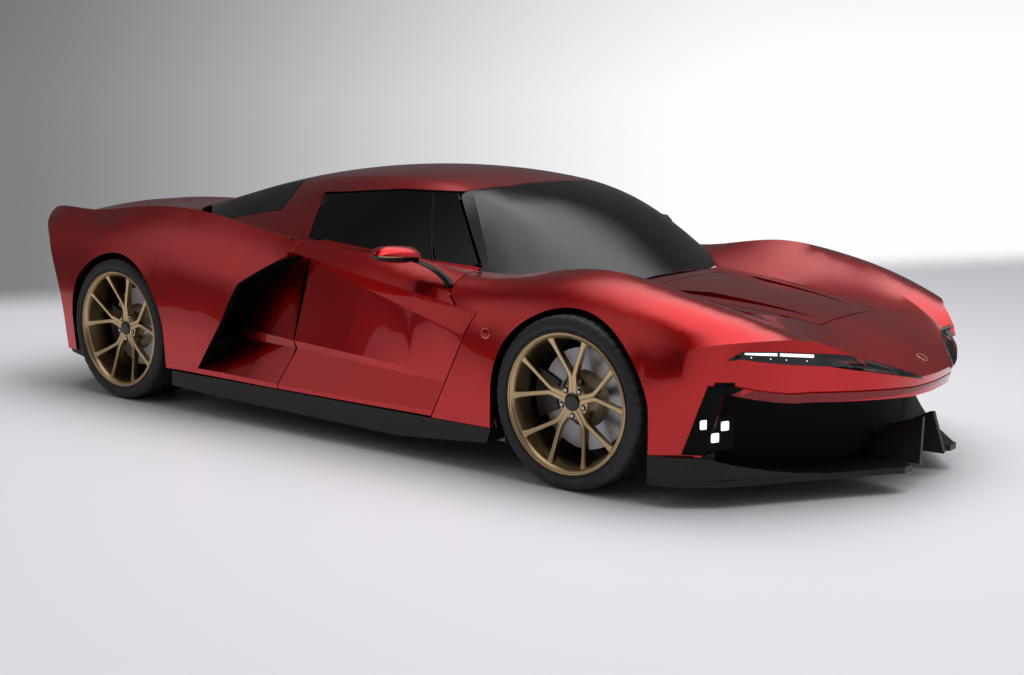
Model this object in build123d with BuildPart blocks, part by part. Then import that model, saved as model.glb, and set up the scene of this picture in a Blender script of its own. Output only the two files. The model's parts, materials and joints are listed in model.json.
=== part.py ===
"""Mid-engined supercar in millimetres: +X forward, +Y left, +Z up, origin on the ground under the centre."""

import math
import os

from build123d import *

os.makedirs("parts", exist_ok=True)

# ---------------------------------------------------------------- main sizes
front_axle_x = 1235
rear_axle_x = -1465
front_tyre_r = 332.5
rear_tyre_r = 345
front_arch_r = 357
rear_arch_r = 374
skin = 28
glass = 6

# ---------------------------------------------------------------- body sections
# station, crown, valley (y, z), wing crest (y, z), side (y, z), sill (y, z)
body_rows = [
    (-2360, 850, 500, 825, 770, 820, 930, 560, 900, 200),
    (-1950, 872, 520, 850, 825, 900, 1000, 560, 970, 200),
    (-1465, 880, 540, 862, 835, 935, 1025, 540, 1005, 200),
    (-900, 860, 560, 845, 838, 925, 1022, 540, 1008, 200),
    (-350, 800, 600, 790, 845, 838, 1005, 550, 1005, 195),
    (250, 760, 600, 755, 812, 808, 995, 540, 1000, 190),
    (750, 735, 560, 715, 730, 760, 992, 520, 995, 190),
    (1235, 708, 470, 680, 733, 812, 1000, 510, 1000, 190),
    (1600, 668, 360, 650, 672, 733, 985, 500, 980, 190),
    (1900, 612, 250, 600, 560, 618, 905, 430, 895, 190),
    (2150, 512, 180, 508, 420, 503, 740, 380, 730, 190),
    (2350, 368, 120, 364, 260, 358, 520, 290, 510, 190),
]
# station, top, shoulder (y, z), belt (y, z)
canopy_rows = [
    (-2150, 820, 380, 790, 600, 650),
    (-1700, 905, 420, 870, 680, 700),
    (-1100, 1040, 450, 990, 770, 740),
    (-550, 1130, 470, 1080, 815, 760),
    (-100, 1148, 480, 1098, 820, 760),
    (350, 1102, 500, 1056, 800, 750),
    (800, 915, 585, 825, 740, 700),
    (1250, 675, 640, 600, 740, 560),
]
# level, nose tip, tail tip
plan_rows = [
    (40, 2230, -2060),
    (372, 2252, -2110),
    (470, 2287, -2130),
    (760, 2287, -2215),
    (868, 2287, -2287),
    (1300, 2287, -2287),
]
# Roof of the mouth under the beak: station, level at the centre, level at y = 1000
mouth_rows = [
    (2360, 350, 368),
    (2245, 354, 386),
    (2000, 362, 386),
    (1780, 375, 462),
    (1600, 375, 475),
]
# Front edge of the wing beside the mouth, (x, z)
wing_edge = [(1735, 20), (1765, 189), (1835, 450), (1883, 566)]
# Lamp slot: station, inner y, outer y, low, high
slot_rows = [
    (1866, 800, 960, 560, 569),
    (1920, 720, 900, 545, 567),
    (2058, 510, 760, 516, 541),
    (2180, 310, 600, 478, 502),
    (2275, 120, 400, 436, 452),
    (2310, 40, 300, 424, 436),
]
# Door scoop: station, ledge (y, z), root (y, z), crease (y, z), step (y, z), foot (y, z), sill (y, z)
scoop_rows = [
    (830, 975, 630, 925, 622, 958, 500, 948, 345, 936, 318, 1000, 207),
    (400, 929, 688, 880, 680, 932, 606, 938, 365, 926, 334, 1002, 209),
    (50, 891, 738, 845, 732, 890, 683, 932, 386, 918, 352, 1003, 211),
    (-314, 851, 790, 822, 770, 828, 757, 926, 404, 912, 366, 1005, 214),
    (-520, 835, 800, 790, 700, 845, 640, 908, 412, 900, 370, 1008, 217),
    (-680, 830, 800, 760, 640, 790, 560, 868, 400, 862, 362, 1010, 220),
    (-900, 830, 800, 740, 600, 760, 540, 790, 400, 788, 340, 1012, 222),
]
lip_line = [(-337, 772), (-487, 690), (-572, 640), (-674, 468), (-863, 219)]
scoop_side = [(786, 640), (562, 190), (540, 120), (-880, 120)] + lip_line[::-1] + [(-337, 830), (780, 830)]
pocket_line = [(-337, 764), (-487, 682), (-572, 630), (-674, 462), (-860, 232)]

# Outlines on the side, (x, z)
door_side = [(570, 196), (784, 626), (692, 634), (606, 690), (608, 774), (575, 778)]
door_side += [(-20, 818), (-374, 838), (-340, 760), (-322, 640), (-318, 196)]
door_wide = [(568, 180), (793, 634), (694, 640), (612, 693), (614, 784), (577, 788)]
door_wide += [(-20, 828), (-384, 848), (-348, 760), (-328, 640), (-324, 180)]
window_side = [(-374, 838), (-20, 818), (575, 778), (590, 790), (305, 1054), (0, 1054), (-474, 1020)]
window_wide = [(-384, 836), (-20, 816), (575, 776), (604, 790), (310, 1062), (0, 1062), (-486, 1028)]
roof_side = [(-492, 1029), (-520, 1062), (-580, 1112), (-610, 1300), (900, 1300), (900, 1063), (0, 1063)]
# Outlines from above, right half, (x, y)
screen_plan = [(420, 60), (400, -260), (330, -512), (606, -800), (700, -1000), (1400, -1000), (1400, 60)]
frame_hole = [(440, 60), (425, -240), (362, -480), (655, -715), (960, -620), (1080, -300), (1095, 60)]
roof_plan = [(413, 0), (393, -262), (321, -516), (500, -900), (-900, -900), (-900, 0)]
lid_plan = [(1180, 0), (1180, -330), (1250, -420), (1890, -240), (1896, 0)]
lid_wide = [(1174, 0), (1174, -332), (1248, -427), (1895, -244), (1902, 0)]
cover_plan = [(-690, 0), (-705, -440), (-712, -600), (-1225, -590), (-1470, -380), (-1500, 0)]
cover_wide = [(-684, 0), (-699, -445), (-706, -606), (-1229, -596), (-1476, -384), (-1507, 0)]


# ---------------------------------------------------------------- helpers
def body(t, drop=0):
    """Lower body, drawn t mm inside its skin and with the bottom drop mm lower."""
    with BuildPart() as made:
        for x, crown_z, valley_y, valley_z, crest_y, crest_z, side_y, side_z, sill_y, sill_z in body_rows:
            radius = ((side_y - crest_y) ** 2 + (crest_z - side_z) ** 2) / (2 * (side_y - crest_y))
            centre_y = side_y - radius
            half = math.atan2(crest_z - side_z, crest_y - centre_y) / 2
            mid_y = centre_y + (radius - t) * math.cos(half)
            mid_z = side_z + (radius - t) * math.sin(half)
            with BuildSketch(Plane.YZ.offset(x)):
                with BuildLine():
                    ThreePointArc((-valley_y, valley_z - t), (0, crown_z - t), (valley_y, valley_z - t))
                    for s in (1, -1):
                        Line((s * valley_y, valley_z - t), (s * (crest_y - t * 0.3), crest_z - t))
                        ThreePointArc(
                            (s * (crest_y - t * 0.3), crest_z - t),
                            (s * mid_y, mid_z),
                            (s * (side_y - t), side_z),
                        )
                        Line((s * (side_y - t), side_z), (s * (sill_y - t), sill_z - drop))
                    Line((-(sill_y - t), sill_z - drop), (sill_y - t, sill_z - drop))
                make_face()
        loft()
    return made.part


def canopy(t, drop=60):
    """Glasshouse, drawn t mm inside its skin."""
    with BuildPart() as made:
        for x, top_z, edge_y, edge_z, belt_y, belt_z in canopy_rows:
            edge_y = edge_y - t * 0.6
            edge_z = edge_z - t
            belt_y = belt_y - t
            belt_z = belt_z - t * 0.5 - drop
            with BuildSketch(Plane.YZ.offset(x)) as section:
                with BuildLine():
                    ThreePointArc((-edge_y, edge_z), (0, top_z - t), (edge_y, edge_z))
                    for s in (1, -1):
                        Line((s * edge_y, edge_z), (s * belt_y, belt_z))
                    Line((-belt_y, belt_z), (belt_y, belt_z))
                make_face()
                fillet(section.vertices().group_by(Axis.Y)[-1], 70)
        loft()
    return made.part


def envelope(t):
    """Plan outline of nose and tail, drawn t mm inside."""
    with BuildPart() as made:
        for z, nose_x, tail_x in plan_rows:
            n = nose_x - t
            e = tail_x + t
            with BuildSketch(Plane.XY.offset(z)):
                with BuildLine():
                    ThreePointArc((n - 8, -180), (n, 0), (n - 8, 180))
                    for s in (1, -1):
                        ThreePointArc((n - 8, s * 180), (n - 72, s * 340), (n - 232, s * 578))
                        ThreePointArc((n - 232, s * 578), (n - 430, s * 850), (n - 720, s * 990))
                        Line((n - 720, s * 990), (n - 1100, s * 1040))
                        Line((n - 1100, s * 1040), (e + 400, s * 1040))
                        ThreePointArc((e + 400, s * 1040), (e + 190, s * 990), (e + 82, s * 880))
                    ThreePointArc((e + 82, 880), (e, 0), (e + 82, -880))
                make_face()
        loft(ruled=True)
    return made.part


def side_prism(points, low_y, high_y):
    """Polygon of (x, z) points, extruded from y = low_y to y = high_y."""
    with BuildPart() as made:
        with BuildSketch(Plane.XZ.offset(-low_y)):
            with BuildLine():
                Polyline(*points, close=True)
            make_face()
        extrude(amount=-(high_y - low_y))
    return made.part


def plan_prism(points, low_z, high_z):
    """Polygon of (x, y) points, extruded from z = low_z to z = high_z."""
    with BuildPart() as made:
        with BuildSketch(Plane.XY.offset(low_z)):
            with BuildLine():
                Polyline(*points, close=True)
            make_face()
        extrude(amount=high_z - low_z)
    return made.part


def block(x0, x1, y0, y1, z0, z1):
    """Box between two corners."""
    return Pos((x0 + x1) / 2, (y0 + y1) / 2, (z0 + z1) / 2) * Box(x1 - x0, y1 - y0, z1 - z0)


def drum(x, y0, y1, z, r):
    """Cylinder along Y from y0 to y1."""
    return Pos(x, (y0 + y1) / 2, z) * Rot(90, 0, 0) * Cylinder(r, abs(y1 - y0))


def slanted(points, draft):
    """Prism of (x, z) points through the right side whose rear edge runs forward towards the inside."""
    with BuildPart() as made:
        for y, shift in ((-1150, -draft * 145), (-600, draft * 405)):
            with BuildSketch(Plane.XZ.offset(-y)):
                with BuildLine():
                    Polyline(*[(x + (shift if x < -200 else 0), z) for x, z in points], close=True)
                make_face()
        loft(ruled=True)
    return made.part


def mouth(up, back=0):
    """Room under the beak and ahead of the wings' front edges, raised and moved back."""
    with BuildPart() as made:
        for x, mid_z, side_z in mouth_rows:
            with BuildSketch(Plane.YZ.offset(x)):
                with BuildLine():
                    Polyline((0, mid_z + up), (-1100, side_z + up), (-1100, 20), (0, 20), close=True)
                make_face()
        loft(ruled=True)
    edge = [(x - back, z) for x, z in wing_edge] + [(2400, 566), (2400, 20)]
    return made.part & side_prism(edge, -1200, 0)


def pocket(t):
    """Intake duct behind the door, drawn t mm inside."""
    line = [(x + t, z) for x, z in pocket_line]
    back = [(x - 170 + t * 2, z) for x, z in pocket_line[::-1]]
    return side_prism(line + back, -1100, -790 - t) & body_inside[t]


right_half = block(-3000, 3000, -1500, 0, -200, 2000)
front_blk = block(560, 2400, -1500, 0, -200, 1300)
mid_blk = block(-470, 810, -1500, 0, -200, 1300)
rear_blk = block(-2400, -250, -1500, 0, -200, 1300)
outer_body = (body(0) & envelope(0)) & right_half
inner_raw = body(skin, 80) & right_half
inner_body = inner_raw & envelope(skin)
outer_canopy = canopy(0, 0) & right_half
inner_canopy = canopy(skin, 170) & right_half
glass_canopy = canopy(glass) & right_half
body_inside = {0: inner_raw, 6: body(skin + 6, 80) & right_half}

with BuildPart() as scoop_raw:
    for x, ly, lz, ry, rz, cy, cz, sy, sz, fy, fz, gy, gz in scoop_rows:
        with BuildSketch(Plane.YZ.offset(x)):
            with BuildLine():
                Polyline(
                    (-1200, lz - 6),
                    (-ly, lz),
                    (-ry, rz),
                    (-cy, cz),
                    (-sy, sz),
                    (-fy, fz),
                    (-gy, gz),
                    (-1200, gz - 90),
                    close=True,
                )
            make_face()
    loft(ruled=True)
scoop = scoop_raw.part & side_prism(scoop_side, -1300, -500)

arch_front = drum(front_axle_x, -560, -1200, front_tyre_r, front_arch_r) + block(
    front_axle_x - front_arch_r, front_axle_x + front_arch_r, -1200, -560, -50, front_tyre_r
)
arch_rear = drum(rear_axle_x, -640, -1200, rear_tyre_r, rear_arch_r) + block(
    rear_axle_x - rear_arch_r, rear_axle_x + rear_arch_r, -1200, -640, -50, rear_tyre_r
)

with BuildPart() as slot_raw:
    for x, in_y, out_y, low_z, high_z in slot_rows:
        with BuildSketch(Plane.YZ.offset(x)):
            with BuildLine():
                Polyline((-in_y, low_z), (-out_y, low_z), (-out_y, high_z), (-in_y, high_z), close=True)
            make_face()
    loft(ruled=True)
slot = slot_raw.part

cabin = block(-480, 930, -735, 0, 150, 700)
engine_bay = plan_prism([(-520, 60), (-520, -560), (-1380, -560), (-1500, -400), (-1500, 60)], 740, 960)
keep = block(-920, -300, -1100, -745, 100, 830)

# ---------------------------------------------------------------- regions
door_hole = slanted(door_wide, 0.34)
door_body = slanted(door_side, 0.34)
window_hole = side_prism(window_wide, -1000, -300)
window_pane = side_prism(window_side, -1000, -300)
roof_zone = side_prism(roof_side, -1200, 0) & plan_prism(roof_plan, 800, 1300)
screen_zone = plan_prism(screen_plan, 500, 1300)
tail_cut = [
    block(-2400, -2000, -800, 0, 330, 640),
    block(-2400, -2150, -830, 0, 690, 712),
]
screen_wall = outer_canopy - inner_canopy
pane_wall = outer_canopy - glass_canopy


def halves(part):
    """The right half and its mirror image as one."""
    return part + part.mirror(Plane.XZ)


def biggest(part):
    return Part() + part.solids().sort_by(SortBy.VOLUME)[-1]


# ---------------------------------------------------------------- body panels
roof_half = (screen_wall & roof_zone) - window_hole
with BuildPart() as roof:
    add(roof_half)
    mirror(about=Plane.XZ)

screen_half = (pane_wall & plan_prism(frame_hole, 500, 1300)) - outer_body - window_hole - door_hole
screen_half = biggest(screen_half)
with BuildPart() as windscreen:
    add(screen_half)
    mirror(about=Plane.XZ)

# Black pillars, header and cowl that hold the glass
frame_half = ((screen_wall & screen_zone) - plan_prism(frame_hole, 500, 1300)) - window_hole
frame_half = biggest(frame_half - outer_body - door_hole)
with BuildPart() as screen_frame:
    add(frame_half)
    mirror(about=Plane.XZ)

front_shell = (outer_body & front_blk) - ((inner_body & front_blk) - mouth(skin))
lip_groove = ((mouth(42) - mouth(35)) & front_blk) - envelope(9)
front_shell = front_shell - lip_groove
front_shell = front_shell - canopy(0, 170) - scoop - cabin - mouth(0) - slot - arch_front - door_hole
clam_front_half = biggest(front_shell - plan_prism(lid_wide, 400, 1000))
with BuildPart() as front_clam:
    add(clam_front_half)
    mirror(about=Plane.XZ)

# Air outlets: a groove that deepens to the rear, with a slot through its floor
vent_plan = [(1866, -179), (1300, -322), (1268, -302), (1400, -222)]
vent_slot = [(1284, -299), (1310, -312), (1424, -240), (1398, -230)]
vent_side = [(1872, 618), (1872, 800), (1240, 800), (1240, 678)]
lid_half = biggest(front_shell & plan_prism(lid_plan, 400, 1000))
lid_half = lid_half - (plan_prism(vent_plan, 500, 800) & side_prism(vent_side, -450, 0))
lid_half = biggest(lid_half - plan_prism(vent_slot, 500, 800))
with BuildPart() as bonnet_lid:
    add(lid_half)
    mirror(about=Plane.XZ)

rear_shell = ((outer_body & rear_blk) + (outer_canopy & rear_blk)) - ((inner_body & rear_blk) - keep)
rear_shell = rear_shell - inner_canopy - engine_bay - scoop - arch_rear - pocket(0) - door_hole - window_hole
rear_shell = rear_shell - roof_zone - plan_prism(cover_wide, 700, 1300) - tail_cut
# Upturned tail lip, highest at the centre
duck = side_prism([(-2060, 840), (-2060, 856), (-2180, 870), (-2300, 898), (-2300, 840)], -560, 0)
duck = duck & envelope(0) & Pos(-2200, 0, 897 - 4325) * Rot(0, 90, 0) * Cylinder(4325, 600)
# Striker on the rear jamb that the shut door rests against
striker = slanted([(-345, 470), (-345, 530), (-321.6, 530), (-321.1, 470)], 0.34) & block(-500, -100, -860, -800, 460, 540)
clam_rear_half = biggest(rear_shell + striker + duck)
with BuildPart() as rear_clam:
    add(clam_rear_half)
    mirror(about=Plane.XZ)

cover_half = ((outer_canopy - canopy(10)) & plan_prism(cover_plan, 700, 1300)) - outer_body
with BuildPart() as engine_cover:
    add(biggest(cover_half))
    mirror(about=Plane.XZ)

door_blank = (outer_body & mid_blk) + (outer_canopy & mid_blk)
door_solid = biggest((door_blank - scoop - inner_canopy - cabin) & door_body)
# The inner lower edge dips as the door swings, so it stands higher than the sill
door_solid = biggest(door_solid - block(-400, 600, -870, -600, 150, 213))
pane = biggest((pane_wall & window_pane) - door_solid)


def mirrored(part):
    return part.mirror(Plane.XZ)


nodes = {}
for name, made in (
    ("roof", roof),
    ("windscreen", windscreen),
    ("screen_frame", screen_frame),
    ("front_clam", front_clam),
    ("bonnet_lid", bonnet_lid),
    ("rear_clam", rear_clam),
    ("engine_cover", engine_cover),
):
    nodes[name] = made.part

with BuildPart() as door_right:
    add(door_solid)
with BuildPart() as door_left:
    add(mirrored(door_solid))
with BuildPart() as door_glass_right:
    add(pane)
with BuildPart() as door_glass_left:
    add(mirrored(pane))
nodes["door_right"] = door_right.part
nodes["door_left"] = door_left.part
nodes["door_glass_right"] = door_glass_right.part
nodes["door_glass_left"] = door_glass_left.part

# ---------------------------------------------------------------- mirrors
# station y, x front, x rear, low z, high z
mirror_rows = [
    (-905, 458, 372, 800, 862),
    (-1000, 440, 345, 800, 874),
    (-1095, 392, 330, 822, 862),
]
with BuildPart() as mirror_shell:
    for y, x0, x1, z0, z1 in mirror_rows:
        with BuildSketch(Plane.XZ.offset(-y)):
            with BuildLine():
                Polyline((x0, z0 + 12), (x0, z1 - 22), (x0 - 22, z1), (x1, z1), (x1, z0), (x0 - 14, z0), close=True)
            make_face()
    loft(ruled=True)
stalk = [(598, 700), (560, 700), (560, 750), (430, 802), (440, 815), (470, 812), (598, 766)]
mirror_right_part = mirror_shell.part + side_prism(stalk, -925, -885)
mirror_right_part = mirror_right_part - door_solid
with BuildPart() as mirror_right:
    add(biggest(mirror_right_part))
with BuildPart() as mirror_left:
    add(mirrored(mirror_right.part))
nodes["mirror_right"] = mirror_right.part
nodes["mirror_left"] = mirror_left.part

# ---------------------------------------------------------------- nose and mouth
splitter_plan = [(1640, 0), (1600, -700), (1592, -975), (1700, -945), (1830, -845)]
splitter_plan += [(2240, -268), (2262, -250), (2262, -190), (2090, -120), (2090, 0)]
under_wing = [(1590, -972), (1590, -780), (1760, -780), (1745, -915), (1690, -952)]
fence = [(2268, 96), (1840, 96), (2010, 168), (2150, 232), (2225, 276), (2245, 280)]
splitter_half = plan_prism(splitter_plan, 80, 104) + plan_prism(under_wing, 100, 189.7)
fence_part = Pos(0, -155, 0) * Rot(-22, 0, 0) * Pos(0, 155, 0) * side_prism(fence, -165, -145)
splitter_half = splitter_half + fence_part
with BuildPart() as splitter:
    add(splitter_half)
    mirror(about=Plane.XZ)
nodes["splitter"] = splitter.part

panel_half = (inner_body & mouth(-0.3, 150) & envelope(180)) - envelope(205) - block(1000, 2400, -1200, 0, 0, 106) - splitter_half
with BuildPart() as mouth_panel:
    add(biggest(panel_half))
    mirror(about=Plane.XZ)
nodes["mouth_panel"] = mouth_panel.part

lamp_half = slot & (body(0) & envelope(22)) & right_half
with BuildPart() as headlamp_right:
    add(biggest(lamp_half))
with BuildPart() as headlamp_left:
    add(mirrored(headlamp_right.part))
nodes["headlamp_right"] = headlamp_right.part
nodes["headlamp_left"] = headlamp_left.part

# ---------------------------------------------------------------- sides and tail
skirt_side = [(872, 184), (-1080, 184), (-1080, 112), (-800, 100), (376, 84), (852, 124)]
skirt_half = side_prism(skirt_side, -985, -878.3)
with BuildPart() as skirts:
    add(skirt_half)
    add(mirrored(skirt_half))
nodes["skirts"] = skirts.part

intake_half = biggest((pocket(0) & keep) - pocket(6) - scoop)
with BuildPart() as intakes:
    add(intake_half)
    add(mirrored(intake_half))
nodes["intakes"] = intakes.part

fascia_half = block(-2300, -1900, -900, 0, 300, 672) & envelope(28.3) & body(28.3, 80)
fascia_half = (fascia_half - envelope(62)) & right_half
fascia_half = fascia_half - Pos(-2050, -110, 520) * Rot(0, 90, 0) * Cylinder(50.3, 400)
with BuildPart() as rear_fascia:
    add(fascia_half)
    mirror(about=Plane.XZ)
nodes["rear_fascia"] = rear_fascia.part

lamp_rear = (block(-2400, -2150, -829.7, 0, 690.3, 711.7) & envelope(6)) - envelope(26)
with BuildPart() as tail_lamp:
    add(lamp_rear)
    mirror(about=Plane.XZ)
nodes["tail_lamp"] = tail_lamp.part

diffuser_side = [(-1840.3, 112), (-1840.3, 130), (-2040, 192), (-2080, 192), (-2052, 150)]
diffuser_half = side_prism(diffuser_side, -860, 0)
for y in (-120, -330, -540, -750):
    diffuser_half = diffuser_half + side_prism([(-1850, 100), (-1850, 120), (-2045, 180), (-2060, 100)], y - 5, y + 5)
with BuildPart() as diffuser:
    add(diffuser_half)
    mirror(about=Plane.XZ)
nodes["diffuser"] = diffuser.part

with BuildPart() as exhausts:
    with Locations((-2140, -110, 520), (-2140, 110, 520)):
        Cylinder(50, 160, rotation=(0, 90, 0))
        Cylinder(46, 170, rotation=(0, 90, 0), mode=Mode.SUBTRACT)
nodes["exhausts"] = exhausts.part

# ---------------------------------------------------------------- tub, cabin and drive
tub_half = block(-1060, 860, -878, 0, 110, 140) + block(860, 1640, -480, 0, 110, 140)
tub_half = tub_half + block(-1840, -1060, -600, 0, 110, 140)
tub_half = tub_half + block(-480, 860, -878, -748, 138, 184)
tub_half = tub_half + block(856, 1640, -480, -470, 138, 560) + block(1040, 1052, -480, 0, 138, 620)
tub_half = tub_half + block(-1840, -1060, -600, -590, 138, 600)
bulkhead = [(0, 138), (0, 1030), (-425, 1020), (-625, 780), (-688, 700), (-730, 630), (-730, 138)]
with BuildPart() as bulk:
    with BuildSketch(Plane.YZ.offset(-520)):
        with BuildLine():
            Polyline(*bulkhead, close=True)
        make_face()
    extrude(amount=30)
tub_half = tub_half + bulk.part
liner_front = drum(front_axle_x, -478, -1100, front_tyre_r, 378) - drum(front_axle_x, -470, -1110, front_tyre_r, 372)
liner_rear = drum(rear_axle_x, -598, -1100, rear_tyre_r, 394) - drum(rear_axle_x, -590, -1110, rear_tyre_r, 388)
for liner in (liner_front, liner_rear):
    tub_half = tub_half + biggest((liner & inner_body) & block(-2300, 2300, -1200, 0, 190, 900))
# Rests for the lids, 0.3 mm under their inner faces, and the lip over the splitter
lid_rest = block(1200, 1230, -270, -240, 600, 720) & body(skin + 0.3, 80)
cover_rest = block(-735, -705, -330, -300, 980, 1120) & canopy(10.3)
tub_half = tub_half + block(1050, 1230, -270, -240, 600, 620) + lid_rest
tub_half = tub_half + block(-735, -519, -330, -300, 980, 1020) + cover_rest
tub_half = tub_half + block(1592, 1640, -480, 0, 104.3, 112)
tub_half = tub_half - drum(front_axle_x, -400, -500, front_tyre_r, 60) - drum(rear_axle_x, -500, -620, rear_tyre_r, 60)
# Room for the steered front tyre
tyre_room = Pos(0, 802, 0) * drum(0, -1006, -739, 0, front_tyre_r + 6)
for turn in (-30, -24, -17, 17, 24, 30):
    tub_half = tub_half - Pos(front_axle_x, -802, front_tyre_r) * Rot(0, 0, turn) * tyre_room
tub_half = biggest(tub_half)
with BuildPart() as tub:
    add(tub_half)
    mirror(about=Plane.XZ)
nodes["tub"] = tub.part

engine_part = block(-1250, -560, -270, 270, 180, 640) + block(-1750, -1250, -180, 180, 200, 480)
engine_part = engine_part + block(-1200, -620, -200, 200, 640, 760) + block(-1150, -680, -180, 180, 140.3, 180)
with BuildPart() as engine:
    add(engine_part)
nodes["engine"] = engine.part

seat_side = [(330, 140.3), (330, 300), (20, 260), (-210, 760), (-280, 930), (-360, 920), (-330, 760), (-140, 140.3)]
bolster_side = [(300, 160), (310, 340), (120, 350), (10, 330), (-120, 620), (-190, 800), (-270, 820), (-150, 160)]
seat_half = side_prism(seat_side, -510, -200) + side_prism(bolster_side, -560, -500) + side_prism(bolster_side, -210, -150)
with BuildPart() as seats:
    add(seat_half)
    add(mirrored(seat_half))
nodes["seats"] = seats.part

dash_side = [(1039.7, 600), (1030, 650), (900, 690), (640, 700), (610, 650), (660, 580), (1039.7, 560)]
dash_wide = [(846, 600), (846, 692), (640, 700), (610, 650), (660, 580)]
dash_part = side_prism(dash_side, -460, 460) + side_prism(dash_wide, -690, 690)
console_part = block(-300, 700, -90, 90, 140.3, 380)
with BuildPart() as dashboard:
    add(dash_part)
    add(console_part)
nodes["dashboard"] = dashboard.part

with BuildPart() as steering_wheel:
    with Locations(Pos(480, 360, 690) * Rot(0, -70, 0)):
        Torus(165, 15)
        Cylinder(45, 40)
        Box(330, 30, 12)
    with Locations(Pos(560, 360, 660) * Rot(0, -70, 0)):
        Cylinder(20, 150)
    add(dash_part, mode=Mode.SUBTRACT)
nodes["steering_wheel"] = steering_wheel.part

# ---------------------------------------------------------------- wheels
# corner, axle x, side, face y, tyre radius, tyre width, barrel radius, flange radius, disc radius
corner_rows = [
    ("front_right", front_axle_x, 1, 1000, front_tyre_r, 255, 254, 271.5, 197),
    ("front_left", front_axle_x, -1, 1000, front_tyre_r, 255, 254, 271.5, 197),
    ("rear_right", rear_axle_x, 1, 1008, rear_tyre_r, 325, 266.7, 284, 190),
    ("rear_left", rear_axle_x, -1, 1008, rear_tyre_r, 325, 266.7, 284, 190),
]


def turned(points):
    """Ring about the Y axis from (radius, y) points."""
    with BuildPart() as made:
        with BuildSketch(Plane.XY):
            with BuildLine():
                Polyline(*points, close=True)
            make_face()
        revolve(axis=Axis.Y)
    return made.part


def flat_shape(points, depth):
    """Polygon of (x, z) points from y = 0 to y = depth."""
    return side_prism(points, 0, depth)


def polar(radius, angle):
    return (radius * math.cos(math.radians(angle)), radius * math.sin(math.radians(angle)))


def bar(r0, a0, r1, a1, half0, half1, depth):
    """Tapered bar in the wheel's plane between two polar points."""
    x0, z0 = polar(r0, a0)
    x1, z1 = polar(r1, a1)
    length = math.hypot(x1 - x0, z1 - z0)
    nx, nz = -(z1 - z0) / length, (x1 - x0) / length
    return flat_shape(
        [
            (x0 + nx * half0, z0 + nz * half0),
            (x1 + nx * half1, z1 + nz * half1),
            (x1 - nx * half1, z1 - nz * half1),
            (x0 - nx * half0, z0 - nz * half0),
        ],
        depth,
    )


def make_rim(width, barrel, flange):
    """Rim with its outer face at y = 0 and its body towards +y."""
    back = width - 6
    rim = turned(
        [
            (flange, 6),
            (flange, 13),
            (barrel, 15),
            (barrel, back - 9),
            (flange, back - 7),
            (flange, back),
            (barrel - 8, back),
            (barrel - 8, 24),
            (barrel - 2, 14),
            (flange - 10, 12),
            (flange - 9, 6),
        ]
    )
    dish = turned(
        [(0, 60), (60, 60), (110, 52), (barrel - 4, 15), (barrel - 4, 62), (110, 92), (78, 104), (0, 104)]
    )
    star = drum(0, 0, 120, 0, 68)
    for k in range(5):
        a = 90 + 72 * k
        star = star + bar(40, a, 112, a, 21, 17, 120)
        for s in (1, -1):
            star = star + bar(98, a + s * 2.5, barrel, a + s * 18, 12, 11, 120)
    spokes = dish & star
    rim = rim + spokes
    holes = []
    for k in range(5):
        x, z = polar(56, 54 + 72 * k)
        holes.append(Pos(x, 60, z) * Rot(90, 0, 0) * Cylinder(13, 40))
    rim = rim - holes - drum(0, 50, 130, 0, 32)
    cap = drum(0, 52, 78, 0, 32) + drum(0, 60, 80, 0, 33)
    for k in range(5):
        x, z = polar(56, 54 + 72 * k)
        rim = rim + Pos(x, 74, z) * Rot(90, 0, 0) * Cylinder(9, 16)
    return rim + cap


def make_tyre(width, radius, barrel, flange):
    """Tyre with its outer face at y = 0."""
    half = width / 2
    side = []
    edge = half - 15
    points = [
        (barrel + 0.5, -edge),
        (flange + 2, -edge),
        (flange + 6, -half + 8),
        (flange + 18, -half + 1),
        (radius - 28, -half),
        (radius - 10, -half + 7),
        (radius - 2, -half + 22),
    ]
    tread = []
    for k in (-0.25, 0, 0.25):
        tread += [(radius, k * width - 6), (radius - 7, k * width - 5), (radius - 7, k * width + 5), (radius, k * width + 6)]
    mirrored_points = [(r, -y) for r, y in points[::-1]]
    inner = [(barrel + 0.5, edge - 12), (barrel + 10, edge - 12), (radius - 14, half - 26)]
    inner += [(radius - 14, -half + 26), (barrel + 10, -edge + 12), (barrel + 0.5, -edge + 12)]
    ring = turned(points + tread + mirrored_points + inner)
    return Pos(0, half, 0) * ring


def make_disc(radius):
    """Brake disc and hat behind the wheel's mounting face at y = 104.5."""
    disc = turned(
        [
            (radius, 140),
            (radius, 172),
            (112, 172),
            (112, 156),
            (78, 114),
            (34, 114),
            (34, 104.3),
            (84, 104.3),
            (112, 140),
        ]
    )
    return disc


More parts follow.
